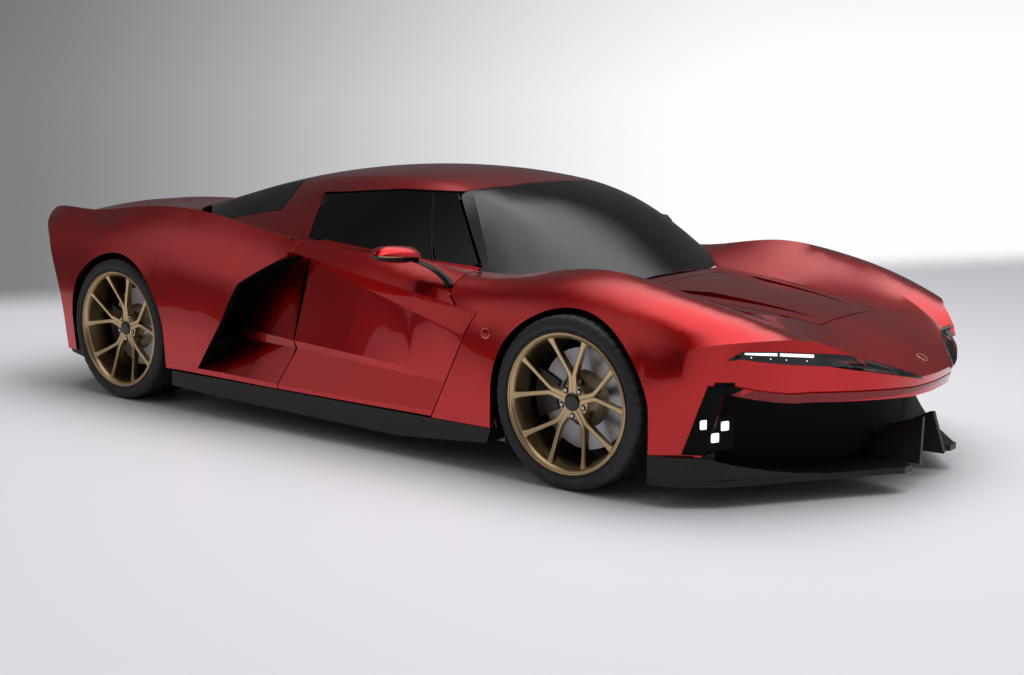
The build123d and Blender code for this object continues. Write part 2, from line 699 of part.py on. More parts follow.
for corner, x, side, face, radius, width, barrel, flange, disc_r in corner_rows:
    place = Pos(x, -face, radius)
    tyre_part = place * make_tyre(width, radius, barrel, flange)
    rim_part = place * make_rim(width, barrel, flange)
    disc_part = place * make_disc(disc_r)
    # The caliper straddles the disc's rear edge
    caliper_part = drum(0, 128, 184, 0, disc_r + 28) - drum(0, 120, 190, 0, disc_r - 72)
    caliper_part = caliper_part & side_prism([(0, 0), (-400, 190), (-400, -190)], 100, 220)
    caliper_part = caliper_part - drum(0, 135, 177, 0, disc_r + 6) + block(-150, -126, 178, 190, -30, 30)
    caliper_part = place * caliper_part
    knuckle_part = drum(0, 92, 200, 0, 29) + block(-34, 34, 180, 215, -116.7, 116.7)
    knuckle_part = knuckle_part + block(-150, 0, 190, 206, -28, 28)
    knuckle_part = place * knuckle_part - disc_part
    with BuildPart() as tyre:
        add(tyre_part)
    with BuildPart() as rim:
        add(rim_part)
    with BuildPart() as disc:
        add(disc_part)
    with BuildPart() as caliper:
        add(caliper_part)
    with BuildPart() as knuckle:
        add(knuckle_part)
    for name, made in (("tyre", tyre), ("rim", rim), ("disc", disc), ("caliper", caliper), ("knuckle", knuckle)):
        part = made.part if side == 1 else mirrored(made.part)
        nodes[name + "_" + corner] = part

# ---------------------------------------------------------------- suspension
# name, axle x, wheel centre z, pivot y, ball y, arm half spread
arm_rows = [
    ("front_arms", front_axle_x, front_tyre_r, 480, 802, 170),
    ("rear_arms", rear_axle_x, rear_tyre_r, 600, 810, 170),
]
for name, x, z, pivot, ball, spread in arm_rows:
    arms = None
    for s in (1, -1):
        level = z + s * 125
        for t in (1, -1):
            with BuildPart() as arm:
                with BuildSketch(Plane.XY.offset(level - 8)):
                    with BuildLine():
                        Polyline(
                            (x + t * spread - 14, -pivot),
                            (x - 14, -ball),
                            (x + 14, -ball),
                            (x + t * spread + 14, -pivot),
                            close=True,
                        )
                    make_face()
                extrude(amount=16)
            arms = arm.part if arms is None else arms + arm.part
        arms = arms + Pos(x, -ball, level) * Cylinder(20, 16)
    with BuildPart() as both_arms:
        add(arms)
        add(mirrored(arms))
    nodes[name] = both_arms.part

for name, part in nodes.items():
    part.label = name
    export_step(part, f"parts/{name}.step")
    print(name, len(part.solids()), round(part.volume / 1e6, 2), part.is_valid)
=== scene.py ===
# %% [markdown]
# # A low mid-engined supercar
#
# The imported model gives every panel, wheel and joint at its real place, in metres: X forward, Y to
# the car's left, Z up. This lesson dresses that frame: it welds and smooths the panels so that they
# reflect like pressed metal, adds the pieces too fine for the frame, and mixes a procedural finish
# for each.

import json
from math import atan2, cos, hypot, radians, sin, tau

import bmesh
import bpy
import numpy as np
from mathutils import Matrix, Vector
from mathutils.bvhtree import BVHTree


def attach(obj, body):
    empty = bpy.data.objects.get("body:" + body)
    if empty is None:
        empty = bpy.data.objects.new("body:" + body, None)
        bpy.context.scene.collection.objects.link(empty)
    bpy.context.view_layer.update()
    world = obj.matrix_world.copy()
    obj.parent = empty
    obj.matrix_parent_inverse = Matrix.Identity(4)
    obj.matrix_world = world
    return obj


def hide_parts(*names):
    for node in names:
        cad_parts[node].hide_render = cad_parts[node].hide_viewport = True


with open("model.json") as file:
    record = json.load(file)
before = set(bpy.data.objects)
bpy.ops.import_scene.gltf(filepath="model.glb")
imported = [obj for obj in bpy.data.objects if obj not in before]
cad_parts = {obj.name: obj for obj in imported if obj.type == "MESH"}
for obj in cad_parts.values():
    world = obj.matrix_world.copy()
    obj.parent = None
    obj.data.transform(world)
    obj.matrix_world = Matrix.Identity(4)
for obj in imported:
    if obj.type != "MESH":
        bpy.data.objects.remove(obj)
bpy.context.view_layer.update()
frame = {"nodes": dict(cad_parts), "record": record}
nodes = frame["nodes"]
body_names = {node: body for body, held in frame["record"]["behaviour"]["bodies"].items() for node in held}
slot_names = {row["node"]: row["material_slot"] for row in frame["record"]["subparts"]}

# %% [markdown]
# ## Node helpers
#
# A finish is a small graph of shader nodes. Helpers keep each graph short: one makes an empty node
# group with named sockets, others add a node and wire its inputs. Effects that several finishes
# share, such as grain or dust, are groups; each finish then sets its own amounts.


# %% Helpers for materials
result_kinds = {"Colour": "NodeSocketColor", "Mask": "NodeSocketFloat", "Normal": "NodeSocketVector"}
black, white = (0, 0, 0, 1), (1, 1, 1, 1)


def add_node(tree, kind, inputs=None, **settings):
    """A node with its settings, and its inputs wired to sockets or set to values."""
    node = tree.nodes.new(kind)
    for key, value in settings.items():
        setattr(node, key, value)
    for key, value in (inputs or {}).items():
        if isinstance(value, bpy.types.NodeSocket):
            tree.links.new(value, node.inputs[key])
        else:
            node.inputs[key].default_value = value
    return node


def new_group(name, results, **inputs):
    """An empty shader group that takes coordinates and named inputs, with its two end nodes."""
    group = bpy.data.node_groups.new(name, "ShaderNodeTree")
    socket = group.interface.new_socket
    socket("Coordinates", in_out="INPUT", socket_type="NodeSocketVector")
    for label, value in inputs.items():
        kind = "NodeSocketColor" if isinstance(value, tuple) else "NodeSocketFloat"
        socket(label, in_out="INPUT", socket_type=kind).default_value = value
    for label in results:
        socket(label, in_out="OUTPUT", socket_type=result_kinds[label])
    return group, group.nodes.new("NodeGroupInput"), group.nodes.new("NodeGroupOutput")


def hand_out(group, given, **results):
    """Wires results to the group's outputs, and says what was made."""
    for label, socket in results.items():
        group.links.new(socket, given.inputs[label])
    print("made group", group.name)


def reckon(tree, operation, *values, clamp=False):
    """The result of a Math node on numbers or sockets."""
    settings = {"operation": operation, "use_clamp": clamp}
    return add_node(tree, "ShaderNodeMath", dict(enumerate(values)), **settings).outputs[0]


def aligned(tree, first, second):
    """The dot product of two vectors."""
    pair = {0: first, 1: second}
    return add_node(tree, "ShaderNodeVectorMath", pair, operation="DOT_PRODUCT").outputs["Value"]


def ranged(tree, value, low=0.0, high=1.0, start=0.0, stop=1.0, ease="LINEAR"):
    """A value carried from the range low to high into the range start to stop."""
    ends = {"Value": value, "From Min": low, "From Max": high, "To Min": start, "To Max": stop}
    return add_node(tree, "ShaderNodeMapRange", ends, interpolation_type=ease).outputs["Result"]


def noise(tree, where, scale, detail, rough=0.5):
    """The strength of a noise in space."""
    values = {"Vector": where, "Scale": scale, "Detail": detail, "Roughness": rough}
    return add_node(tree, "ShaderNodeTexNoise", values).outputs["Fac"]


def bumped(tree, height, strength, distance):
    """A normal bent by a height."""
    values = {"Strength": strength, "Distance": distance, "Height": height}
    return add_node(tree, "ShaderNodeBump", values).outputs["Normal"]


def blended(tree, factor, first, second):
    """A number between two others."""
    values = {"Factor": factor, "A": first, "B": second}
    return add_node(tree, "ShaderNodeMix", values, data_type="FLOAT").outputs[0]


def mix_colours(tree, factor, first, second):
    """A colour between two others."""
    node = add_node(tree, "ShaderNodeMix", {"Factor": factor, 6: first, 7: second}, data_type="RGBA")
    return node.outputs[2]


def new_finish(name, **sockets):
    """A material with one Principled shader whose plain sockets are set by name."""
    finish = bpy.data.materials.new(name)
    finish.use_nodes = True
    tree = finish.node_tree
    shader = tree.nodes["Principled BSDF"]
    for key, value in sockets.items():
        label = key.replace("_", " ").title().replace("Ior", "IOR")
        shader.inputs[label].default_value = value
    coords = tree.nodes.new("ShaderNodeTexCoord").outputs["Object"]
    return finish, tree, shader, coords


# %% [markdown]
# ## Shared effects
#
# **Grain** is the fine mottle that every moulded or cast surface has: two noises, one for tone and
# one for the bumps. **Peel** is the slow ripple of sprayed lacquer with metal flake under it.
# **Dust** is the road film that thickens towards the floor. **Turning** draws the rings that a lathe
# leaves round an axle: its middle is given by a Mapping node, so each wheel has rings of its own.

# %% Grain
grain, taken, given = new_group(
    "Grain", ("Colour", "Mask", "Normal"), Scale=400.0, Dark=black, Light=white, Depth=0.1
)
where = taken.outputs["Coordinates"]
fine = noise(grain, where, taken.outputs["Scale"], 3.0)
tone = blended(grain, 0.5, noise(grain, where, 7.0, 4.0), fine)
mixed = mix_colours(grain, tone, taken.outputs["Dark"], taken.outputs["Light"])
hand_out(grain, given, Colour=mixed, Mask=tone, Normal=bumped(grain, fine, taken.outputs["Depth"], 0.0006))

# %% Peel
peel, taken, given = new_group(
    "Peel", ("Colour", "Mask", "Normal"), Deep=black, Bright=white, Flake=0.5, Ripple=0.02
)
where = taken.outputs["Coordinates"]
flake = add_node(peel, "ShaderNodeTexVoronoi", {"Vector": where, "Scale": 1500.0}, feature="F1")
cloud = noise(peel, where, 2.2, 2.0)
spark = ranged(peel, flake.outputs["Color"], start=0.1)
sparse = reckon(peel, "MULTIPLY", spark, taken.outputs["Flake"])
blend = reckon(peel, "MULTIPLY_ADD", sparse, cloud, 0.12)
tint = mix_colours(peel, blend, taken.outputs["Deep"], taken.outputs["Bright"])
ripple = bumped(peel, noise(peel, where, 160.0, 1.0), taken.outputs["Ripple"], 0.0004)
hand_out(peel, given, Colour=tint, Mask=spark, Normal=ripple)

# %% Dust and turning
dust, taken, given = new_group(
    "Dust", ("Colour", "Mask"), Colour=black, Film=(0.16, 0.15, 0.14, 1), Height=0.3, Amount=0.1
)
where = taken.outputs["Coordinates"]
parts = add_node(dust, "ShaderNodeSeparateXYZ", {"Vector": where})
fade = reckon(dust, "DIVIDE", parts.outputs["Z"], taken.outputs["Height"])
specks = ranged(dust, noise(dust, where, 26.0, 8.0, 0.7), low=0.42, high=0.7)
film = reckon(dust, "MULTIPLY", ranged(dust, fade, start=1.0, stop=0.0), specks)
much = reckon(dust, "MULTIPLY", film, taken.outputs["Amount"], clamp=True)
cover = mix_colours(dust, much, taken.outputs["Colour"], taken.outputs["Film"])
hand_out(dust, given, Colour=cover, Mask=much)

turning, taken, given = new_group("Turning", ("Mask", "Normal"), Rings=900.0, Depth=0.2)
no_y = {0: taken.outputs["Coordinates"], 1: (1, 0, 1)}
flat = add_node(turning, "ShaderNodeVectorMath", no_y, operation="MULTIPLY")
reach = add_node(turning, "ShaderNodeVectorMath", {0: flat.outputs[0]}, operation="LENGTH")
count = reckon(turning, "MULTIPLY", reach.outputs["Value"], taken.outputs["Rings"])
line = {"W": count, "Scale": 1.0, "Detail": 3.0}
rings = add_node(turning, "ShaderNodeTexNoise", line, noise_dimensions="1D").outputs["Fac"]
hand_out(turning, given, Mask=rings, Normal=bumped(turning, rings, taken.outputs["Depth"], 0.0004))

# %% [markdown]
# ## Finishes
#
# Candy paint is a metallic red base under a hard clear coat: the base glows where a lamp falls on
# it, and the coat mirrors the room. Trim is black with a satin bloom and a trace of road film. The
# visor glass is dark right through, so the cabin only just shows.


# %% Paint and trim
def placed(tree, group, coords, **values):
    """The outputs of a group that is put in a finish with its values set."""
    inputs = {"Coordinates": coords, **values}
    return add_node(tree, "ShaderNodeGroup", inputs, node_tree=group).outputs


def feed(tree, shader, colour, normal, mask, rough):
    """Wires a shader's colour and normal; the mask runs its roughness between two values."""
    tree.links.new(colour, shader.inputs["Base Color"])
    tree.links.new(normal, shader.inputs["Normal"])
    tree.links.new(ranged(tree, mask, start=rough[0], stop=rough[1]), shader.inputs["Roughness"])


def painted(name, deep, bright):
    """A clear-coated metallic paint with a trace of road dust."""
    finish, tree, shader, coords = new_finish(
        name, metallic=1.0, roughness=0.3, coat_weight=1.0, coat_roughness=0.02, coat_ior=1.42
    )
    coat = placed(tree, peel, coords, Deep=(*deep, 1), Bright=(*bright, 1), Flake=0.75, Ripple=0.012)
    road = placed(tree, dust, coords, Colour=coat["Colour"], Height=0.34, Amount=0.04)
    feed(tree, shader, road["Colour"], coat["Normal"], coat["Mask"], (0.26, 0.36))
    return finish


def grained(name, dark, light, rough, depth=0.15, scale=400.0, film=0.0, **sockets):
    """A finish on the grain group; its roughness runs between two values with the mask."""
    finish, tree, shader, coords = new_finish(name, **sockets)
    skin = placed(tree, grain, coords, Dark=(*dark, 1), Light=(*light, 1), Depth=depth, Scale=scale)
    road = placed(tree, dust, coords, Colour=skin["Colour"], Height=0.4, Amount=film)
    feed(tree, shader, road["Colour"], skin["Normal"], skin["Mask"], rough)
    return finish


def lathed(name, dark, light, middle, **sockets):
    """A turned metal whose rings run round an axle at (x, z)."""
    finish, tree, shader, coords = new_finish(name, **sockets)
    centred = add_node(tree, "ShaderNodeMapping", {"Vector": coords, "Location": (-middle[0], 0, -middle[1])})
    cut = placed(tree, turning, centred.outputs["Vector"], Rings=900.0, Depth=0.35)
    base = placed(tree, grain, coords, Dark=(*dark, 1), Light=(*light, 1), Scale=500.0)
    feed(tree, shader, base["Colour"], cut["Normal"], cut["Mask"], (0.2, 0.42))
    return finish


red_paint = painted("red_paint", (0.33, 0.0012, 0.003), (0.8, 0.006, 0.007))
# Painted shade: a darker red for the strip under the nose's groove, where the car's shadow on the floor shows
# in the paint.
red_painted_shade = painted("red_painted_shade", (0.12, 0.0005, 0.001), (0.26, 0.0015, 0.002))

near_black = (0.003, 0.003, 0.0035)
gloss_black = grained("gloss_black", near_black, (0.006, 0.006, 0.007), (0.06, 0.1), 0.02)
satin_black = grained(
    "satin_black", near_black, (0.008, 0.008, 0.009), (0.36, 0.52), film=0.06, specular_ior_level=0.35
)
# A dull near-black: black trim in the mouth and intakes, made darker there as painted shade, and painted
# shade alone in the intake's throat, on the wing's lip, on the strip at its edge and in the bolt wells.
black_and_painted_shade = grained("black_and_painted_shade", (0.0015,) * 3, (0.004,) * 3, (0.7, 0.9), specular_ior_level=0.15)
tyre_rubber = grained(
    "tyre_rubber", (0.006, 0.006, 0.0065), (0.015, 0.015, 0.0155), (0.5, 0.75), 0.5, 250.0, film=0.25
)
dark_caliper = grained("dark_caliper", (0.01, 0.01, 0.012), (0.022, 0.022, 0.025), (0.25, 0.35))
dark_hide = grained("dark_hide", (0.008, 0.008, 0.009), (0.022, 0.022, 0.024), (0.45, 0.65), 0.6, 600.0)

metals = {}
for name, dark, light, rough, depth, scale in [
    ("satin_gold", (0.46, 0.325, 0.18), (0.62, 0.455, 0.265), (0.24, 0.34), 0.03, 900.0),
    ("alloy", (0.1, 0.1, 0.105), (0.17, 0.17, 0.18), (0.35, 0.5), 0.2, 300.0),
    ("steel_tube", (0.35, 0.33, 0.31), (0.55, 0.54, 0.53), (0.2, 0.35), 0.05, 500.0),
    ("bolt_steel", (0.4, 0.4, 0.41), (0.62, 0.62, 0.63), (0.22, 0.34), 0.05, 800.0),
]:
    metals[name] = grained(name, dark, light, rough, depth, scale, metallic=1.0)
for name, middle in (("iron_front", (1.235, 0.3325)), ("iron_rear", (-1.465, 0.345))):
    metals[name] = lathed(name, (0.24, 0.24, 0.25), (0.4, 0.4, 0.41), middle, metallic=1.0)
satin_gold = metals["satin_gold"]
print("paint, trim and metals:", len(bpy.data.materials), "finishes")

# %% Glass and lamps
visor_glass = new_finish(
    "visor_glass", base_color=(0.035, 0.036, 0.04, 1), roughness=0.0, transmission_weight=1.0, ior=1.5
)[0]
red_lens = new_finish(
    "red_lens", base_color=(0.35, 0.008, 0.006, 1), roughness=0.08,
    emission_color=(1, 0.03, 0.02, 1), emission_strength=0.6,
)[0]
white_lamp = new_finish(
    "white_lamp", base_color=(0.9, 0.9, 0.9, 1), roughness=0.2,
    emission_color=(1, 1, 1, 1), emission_strength=0.85,
)[0]
mirror_glass = new_finish("mirror_glass", base_color=(0.55, 0.57, 0.6, 1), metallic=1.0, roughness=0.02)[0]
print("finishes", [m.name for m in bpy.data.materials])

# %% [markdown]
# ## Panels
#
# The frame's meshes are loose triangles. A copy of each is welded, and the direction that every
# corner faces is averaged over its smooth neighbours, so that long thin triangles stop showing in
# the reflections while creases stay sharp. Remeshing would also smooth them, but it would round the
# shutlines. The copy then stands for the node.


# %% Even out the normals
def unit(rows):
    """Vectors brought to length one."""
    return rows / (np.linalg.norm(rows, axis=-1, keepdims=True) + 1e-16)


def calm_normals(mesh, crease, rounds):
    """Custom normals: corners across soft edges share one direction, evened out over rounds."""
    count = len(mesh.loops)
    start = np.empty(count, np.int64)
    mesh.loops.foreach_get("vertex_index", start)
    points = np.empty(len(mesh.vertices) * 3)
    mesh.vertices.foreach_get("co", points)
    points = points.reshape(-1, 3)
    tri = start.reshape(-1, 3)
    a, b, c = points[tri[:, 0]], points[tri[:, 1]], points[tri[:, 2]]
    cross = np.cross(b - a, c - a)
    area = np.linalg.norm(cross, axis=1) + 1e-16
    facing = unit(cross)
    end = tri[:, [1, 2, 0]].ravel()
    after = np.arange(count).reshape(-1, 3)[:, [1, 2, 0]].ravel()
    key = np.minimum(start, end) * len(points) + np.maximum(start, end)
    order = np.argsort(key, kind="stable")
    ranked = key[order]
    same = np.nonzero(ranked[1:] == ranked[:-1])[0]
    one, two = order[same], order[same + 1]
    soft = (facing[one // 3] * facing[two // 3]).sum(1) > cos(radians(crease))
    soft &= start[one] != start[two]
    one, two = one[soft], two[soft]
    left = np.concatenate([one, after[one]])
    right = np.concatenate([after[two], two])
    label = np.arange(count)
    while True:
        low = np.minimum(label[left], label[right])
        fresh = label.copy()
        np.minimum.at(fresh, left, low)
        np.minimum.at(fresh, right, low)
        fresh = fresh[fresh]
        if (fresh == label).all():
            break
        label = fresh
    total = np.zeros((count, 3))
    sides = unit(np.stack([b - a, c - b, a - c], 1))
    turn = [-(sides[:, i] * sides[:, i - 1]).sum(1) for i in range(3)]
    weight = np.arccos(np.clip(np.stack(turn, 1), -1, 1)).ravel() * np.repeat(np.sqrt(area), 3)
    np.add.at(total, label, np.repeat(facing, 3, axis=0) * weight[:, None])
    total = unit(total)
    length = np.linalg.norm(points[start] - points[end], axis=1) + 1e-4
    far = label[after]
    share = (0.02 / length)[:, None].clip(0, 2)
    for _ in range(rounds):
        pull = total * 0.6
        np.add.at(pull, label, total[far] * share)
        np.add.at(pull, far, total[label] * share)
        total = unit(pull)
    mesh.normals_split_custom_set(total[label].tolist())


# %% Weld a node and dress it
def only(piece):
    """Selects one object and makes it active."""
    bpy.ops.object.select_all(action="DESELECT")
    bpy.context.view_layer.objects.active = piece
    piece.select_set(True)


WELD, CREASE, ROUNDS = 0.00002, 24, 14


def opened(name, mesh):
    """A new object of a mesh, alone in edit mode."""
    piece = bpy.data.objects.new(name, mesh)
    bpy.context.collection.objects.link(piece)
    only(piece)
    bpy.ops.object.mode_set(mode="EDIT")
    return piece


def dress(name, finish):
    """A welded, smoothed copy of a CAD node that stands for it."""
    piece = opened(name + "_skin", nodes[name].data.copy())
    bpy.ops.mesh.select_all(action="SELECT")
    bpy.ops.mesh.remove_doubles(threshold=WELD)
    bpy.ops.object.mode_set(mode="OBJECT")
    bpy.ops.object.shade_smooth()
    calm_normals(piece.data, CREASE, ROUNDS)
    piece.data.materials.clear()
    piece.data.materials.append(finish)
    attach(piece, body_names[name])
    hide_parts(name)
    return piece


finishes = {
    "paint": red_paint, "black_panel": satin_black, "screen": visor_glass, "lamp_glass": gloss_black,
    "red_lens": red_lens, "iron": metals["iron_front"], "caliper": dark_caliper,
    "metal": metals["alloy"], "steel": metals["steel_tube"], "trim": dark_hide,
}
remade = {"mirror_right", "mirror_left"}
skins = {}
for name, slot in slot_names.items():
    if slot in finishes and name not in remade:
        skins[name] = dress(name, finishes[slot])
# The mouth panel and intakes take the dull black, which is partly painted shade in those hollows.
own_finish = {
    "disc_rear_right": metals["iron_rear"], "disc_rear_left": metals["iron_rear"],
    "screen_frame": gloss_black, "mouth_panel": black_and_painted_shade, "intakes": black_and_painted_shade,
}
for name, finish in own_finish.items():
    skins[name].data.materials[0] = finish
print("dressed", len(skins), "nodes")

# %% [markdown]
# Some panels change finish across themselves: the throat of the side intake and the wing's edge
# beside the mouth get the dull black that is partly painted shade, and the strip under the nose's
# groove gets a darker red as painted shade. Their faces are picked by place and by the way they face,
# and given a further material slot.


# %% Second finishes
def refinish(piece, finish, test):
    """Gives the faces that pass a test of centre and normal a finish of their own."""
    mesh = piece.data
    mesh.materials.append(finish)
    slot = len(mesh.materials) - 1
    picked = 0
    for face in mesh.polygons:
        if test(face.center, face.normal):
            face.material_index = slot
            picked += 1
    print(piece.name, "has", picked, "faces in", finish.name)


def in_throat(middle, normal):
    """Walls of the side intake, behind the door and inboard of the wing; their dull black is painted shade.
    """
    side = abs(middle.y)
    out = normal.y * (1 if middle.y > 0 else -1)
    rear_edge = -0.655 + 0.34 * max(0.0, (middle.z - 0.25) / 0.45)
    placed_in = -1.1 < middle.x < min(-0.36, rear_edge) and side > 0.62 and middle.z > 0.2
    return placed_in and normal.x > 0.25 and out < 0.75


def wing_lip(middle, normal):
    """The front edge of the wing, beside the mouth, and its underside; their dull black is painted shade."""
    side = abs(middle.y)
    ahead = normal.x > 0.55 and 1.74 < middle.x < 1.87 and 0.8 < side < 0.91 and middle.z < 0.47
    below = normal.z < -0.6 and 1.6 < middle.x < 1.8 and middle.z < 0.21
    return ahead or below


def under_beak(middle, normal):
    """The strip under the nose's groove, which climbs a little outward; its darker red is painted shade."""
    side = abs(middle.y)
    groove = 0.391 + 0.032 * side + 0.07 * max(0.0, side - 0.6)
    return middle.x > 1.8 and middle.z < groove and side < 0.86 and -0.75 < normal.z < -0.1


# Painted shade: dull black on the intake's throat and on the wing's lip beside the mouth.
refinish(skins["rear_clam"], black_and_painted_shade, in_throat)
refinish(skins["front_clam"], black_and_painted_shade, wing_lip)
# The darker red under the groove is painted shade.
refinish(skins["front_clam"], red_painted_shade, under_beak)

# %% [markdown]
# ## Drawing new pieces
#
# Three ways of drawing serve nearly everything added here. A **lathe** pulls one vertex along a
# profile and spins it round an axle. A **plate** fills an outline and pulls it to a thickness. A
# **loft** joins rings of points, each ring one section of the form, which suits arms and shells
# whose section changes as they go.


# %% Start and close a piece
def begin(name):
    """A single vertex at the origin, in edit mode, ready to be pulled."""
    bpy.ops.mesh.primitive_plane_add(size=0.01, location=(0, 0, 0))
    piece = bpy.context.object
    piece.name = name
    piece.data.name = name
    bpy.ops.object.mode_set(mode="EDIT")
    bpy.ops.mesh.select_mode(type="VERT")
    bpy.ops.mesh.merge(type="CENTER")
    return piece


def pull_along(points):
    """Moves the one vertex to the first point, then extrudes it to each of the others."""
    bpy.ops.transform.translate(value=points[0])
    for before, after in zip(points, points[1:]):
        step = [after[i] - before[i] for i in range(3)]
        bpy.ops.mesh.extrude_region_move(TRANSFORM_OT_translate={"value": step})


def close_up(piece, finish, body, angle=32):
    """Merges doubles, turns faces outwards, shades by angle, gives the finish and the body."""
    bpy.ops.mesh.select_all(action="SELECT")
    bpy.ops.mesh.remove_doubles(threshold=1e-5)
    bpy.ops.mesh.normals_make_consistent(inside=False)
    bpy.ops.object.mode_set(mode="OBJECT")
    only(piece)
    bpy.ops.object.shade_smooth_by_angle(angle=radians(angle))
    piece.data.materials.clear()
    piece.data.materials.append(finish)
    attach(piece, body)
    return piece


def lathe(name, profile, axle, finish, body, steps=96, angle=32):
    """Spins a closed profile of (radius, y) points round an axle along Y at (x, z)."""
    piece = begin(name)
    pull_along([(axle[0], y, axle[1] + radius) for radius, y in profile + profile[:1]])
    bpy.ops.mesh.select_all(action="SELECT")
    bpy.ops.mesh.spin(steps=steps, angle=tau, center=(axle[0], 0, axle[1]), axis=(0, 1, 0))
    return close_up(piece, finish, body, angle)


def plate(name, outline, push, finish, body, round_off=0.0, angle=32):
    """Fills an outline of points and pulls it by a vector, then rounds its edges a little."""
    piece = begin(name)
    pull_along(outline)
    bpy.ops.mesh.select_all(action="SELECT")
    bpy.ops.mesh.edge_face_add()
    bpy.ops.mesh.extrude_region_move(TRANSFORM_OT_translate={"value": push})
    close_up(piece, finish, body, angle)
    if round_off:
        soften(piece, round_off)
    return piece


def soften(piece, width):
    """A narrow bevel on the sharp edges, applied."""
    only(piece)
    bevel = piece.modifiers.new("bevel", "BEVEL")
    bevel.width = width
    bevel.segments = 2
    bevel.limit_method = "ANGLE"
    bevel.angle_limit = radians(35)
    bpy.ops.object.modifier_apply(modifier="bevel")
    bpy.ops.object.shade_smooth_by_angle(angle=radians(40))


def skinned(name, points, faces, finish, body, angle):
    """A piece made of points and faces."""
    mesh = bpy.data.meshes.new(name)
    mesh.from_pydata([tuple(p) for p in points], [], faces)
    return close_up(opened(name, mesh), finish, body, angle)


def loft(name, rings, finish, body, angle=32, caps=True):
    """A skin over rings of points, each ring one section of the form."""
    count = len(rings[0])
    points = [point for ring in rings for point in ring]
    faces = []
    for r in range(len(rings) - 1):
        for k in range(count):
            a, b = r * count + k, r * count + (k + 1) % count
            faces.append((a, b, b + count, a + count))
    if caps:
        faces.append(tuple(range(count)))
        faces.append(tuple(range(len(points) - count, len(points)))[::-1])
    return skinned(name, points, faces, finish, body, angle)


def across(body, *pieces):
    """Mirrored copies on the car's left side, each with its own mesh; returns the first."""
    twins = []
    for piece in pieces:
        twin = piece.copy()
        twin.data = piece.data.copy()
        twin.name = piece.name.removesuffix("right") + "left"
        bpy.context.collection.objects.link(twin)
        for vertex in twin.data.vertices:
            vertex.co.y = -vertex.co.y
        twin.data.flip_normals()
        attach(twin, body)
        twins.append(twin)
    return twins[0]


def joined(name, pieces):
    """Several meshes as one piece that keeps the first one's body."""
    only(pieces[0])
    for piece in pieces[1:]:
        piece.select_set(True)
    bpy.ops.object.join()
    pieces[0].name = name
    return pieces[0]


# %% [markdown]
# ## Tyres
#
# A tyre is one turned section: bead, bulging sidewall with a rim guard, rounded shoulder and a tread
# cut by straight grooves. The section is spun, then the operators cut it further: every third column
# of shoulder faces is inset and pushed in as a sipe, and a band of the sidewall gets fine ribs. That
# keeps real relief at the edge of the tyre, where a bump would fade.


# %% Draw a tyre
def tyre_profile(face, width, radius, barrel, flange):
    """(radius, y) points of the whole section for the right side, whose outer face is at y = -face."""
    bead_steps = [
        (0.0012, 0.014), (0.003, 0.0095), (0.007, 0.0078), (0.0095, 0.0092), (0.012, 0.0052), (0.02, 0.0018),
    ]
    wall_steps = [
        (0.034, 0.0006), (0.0335, 0.0012), (0.026, 0.0012), (0.0255, 0.0007), (0.019, 0.0022),
        (0.011, 0.0062), (0.0055, 0.0115), (0.0021, 0.019), (0.0007, 0.029),
    ]
    half = [(barrel + 0.0006, 0.015)] + [(flange + above, y) for above, y in bead_steps]
    half += [(radius - below, y) for below, y in wall_steps]
    tread = []
    for share in (0.2, 0.4, 0.6, 0.8):
        middle = width * share
        wide = 0.0055 if share in (0.4, 0.6) else 0.0045
        tread += [(radius, middle - wide), (radius - 0.0065, middle - wide + 0.001)]
        tread += [(radius - 0.0065, middle + wide - 0.001), (radius, middle + wide)]
    other = [(r, width - y) for r, y in half[::-1]]
    inside = [
        (barrel + 0.006, width - 0.024), (radius - 0.016, width - 0.03), (radius - 0.016, 0.03),
        (barrel + 0.006, 0.024),
    ]
    return [(r, y - face) for r, y in half + tread + other + inside]


def pick_faces(piece, test):
    """Selects the faces whose centre passes a test, in edit mode."""
    bm = bmesh.from_edit_mesh(piece.data)
    for item in [*bm.verts, *bm.faces]:
        item.select = False
    found = 0
    for item in bm.faces:
        if test(item.calc_center_median(), item.normal):
            item.select = True
            found += 1
    bm.select_flush(True)
    bmesh.update_edit_mesh(piece.data)
    return found


TYRE_STEPS = 144


def draw_tyre(end, axle, face, width, radius, barrel, flange):
    """One right tyre: the spun section, then sipes at its shoulders and ribs on its sidewalls."""
    profile = tyre_profile(face, width, radius, barrel, flange)
    tyre = lathe(f"tread_{end}_right", profile, axle, tyre_rubber, f"wheel_{end}_right", TYRE_STEPS, 30)
    only(tyre)
    bpy.ops.object.mode_set(mode="EDIT")
    bpy.ops.mesh.select_mode(type="FACE")

    def column(middle):
        turn = atan2(middle.z - axle[1], middle.x - axle[0]) / tau
        return int((turn % 1.0) * TYRE_STEPS)

    def reach(middle):
        return hypot(middle.x - axle[0], middle.z - axle[1])

    def sipe(middle, normal):
        groove_wall = radius - 0.0052 < reach(middle) < radius - 0.0046
        return column(middle) % 3 == 0 and reach(middle) > radius - 0.017 and not groove_wall

    def rib(middle, normal):
        on_band = radius - 0.0334 < reach(middle) < radius - 0.0256
        return column(middle) % 2 == 0 and on_band and abs(normal.y) > 0.8

    cut = pick_faces(tyre, sipe)
    bpy.ops.mesh.inset(thickness=0.0052, depth=-0.0026, use_boundary=True)
    ribs = pick_faces(tyre, rib)
    bpy.ops.mesh.extrude_region_shrink_fatten(TRANSFORM_OT_shrink_fatten={"value": -0.0004})
    bpy.ops.object.mode_set(mode="OBJECT")
    bpy.ops.object.shade_smooth_by_angle(angle=radians(30))
    print(tyre.name, "has", cut, "sipe faces and", ribs, "ribs")
    return tyre


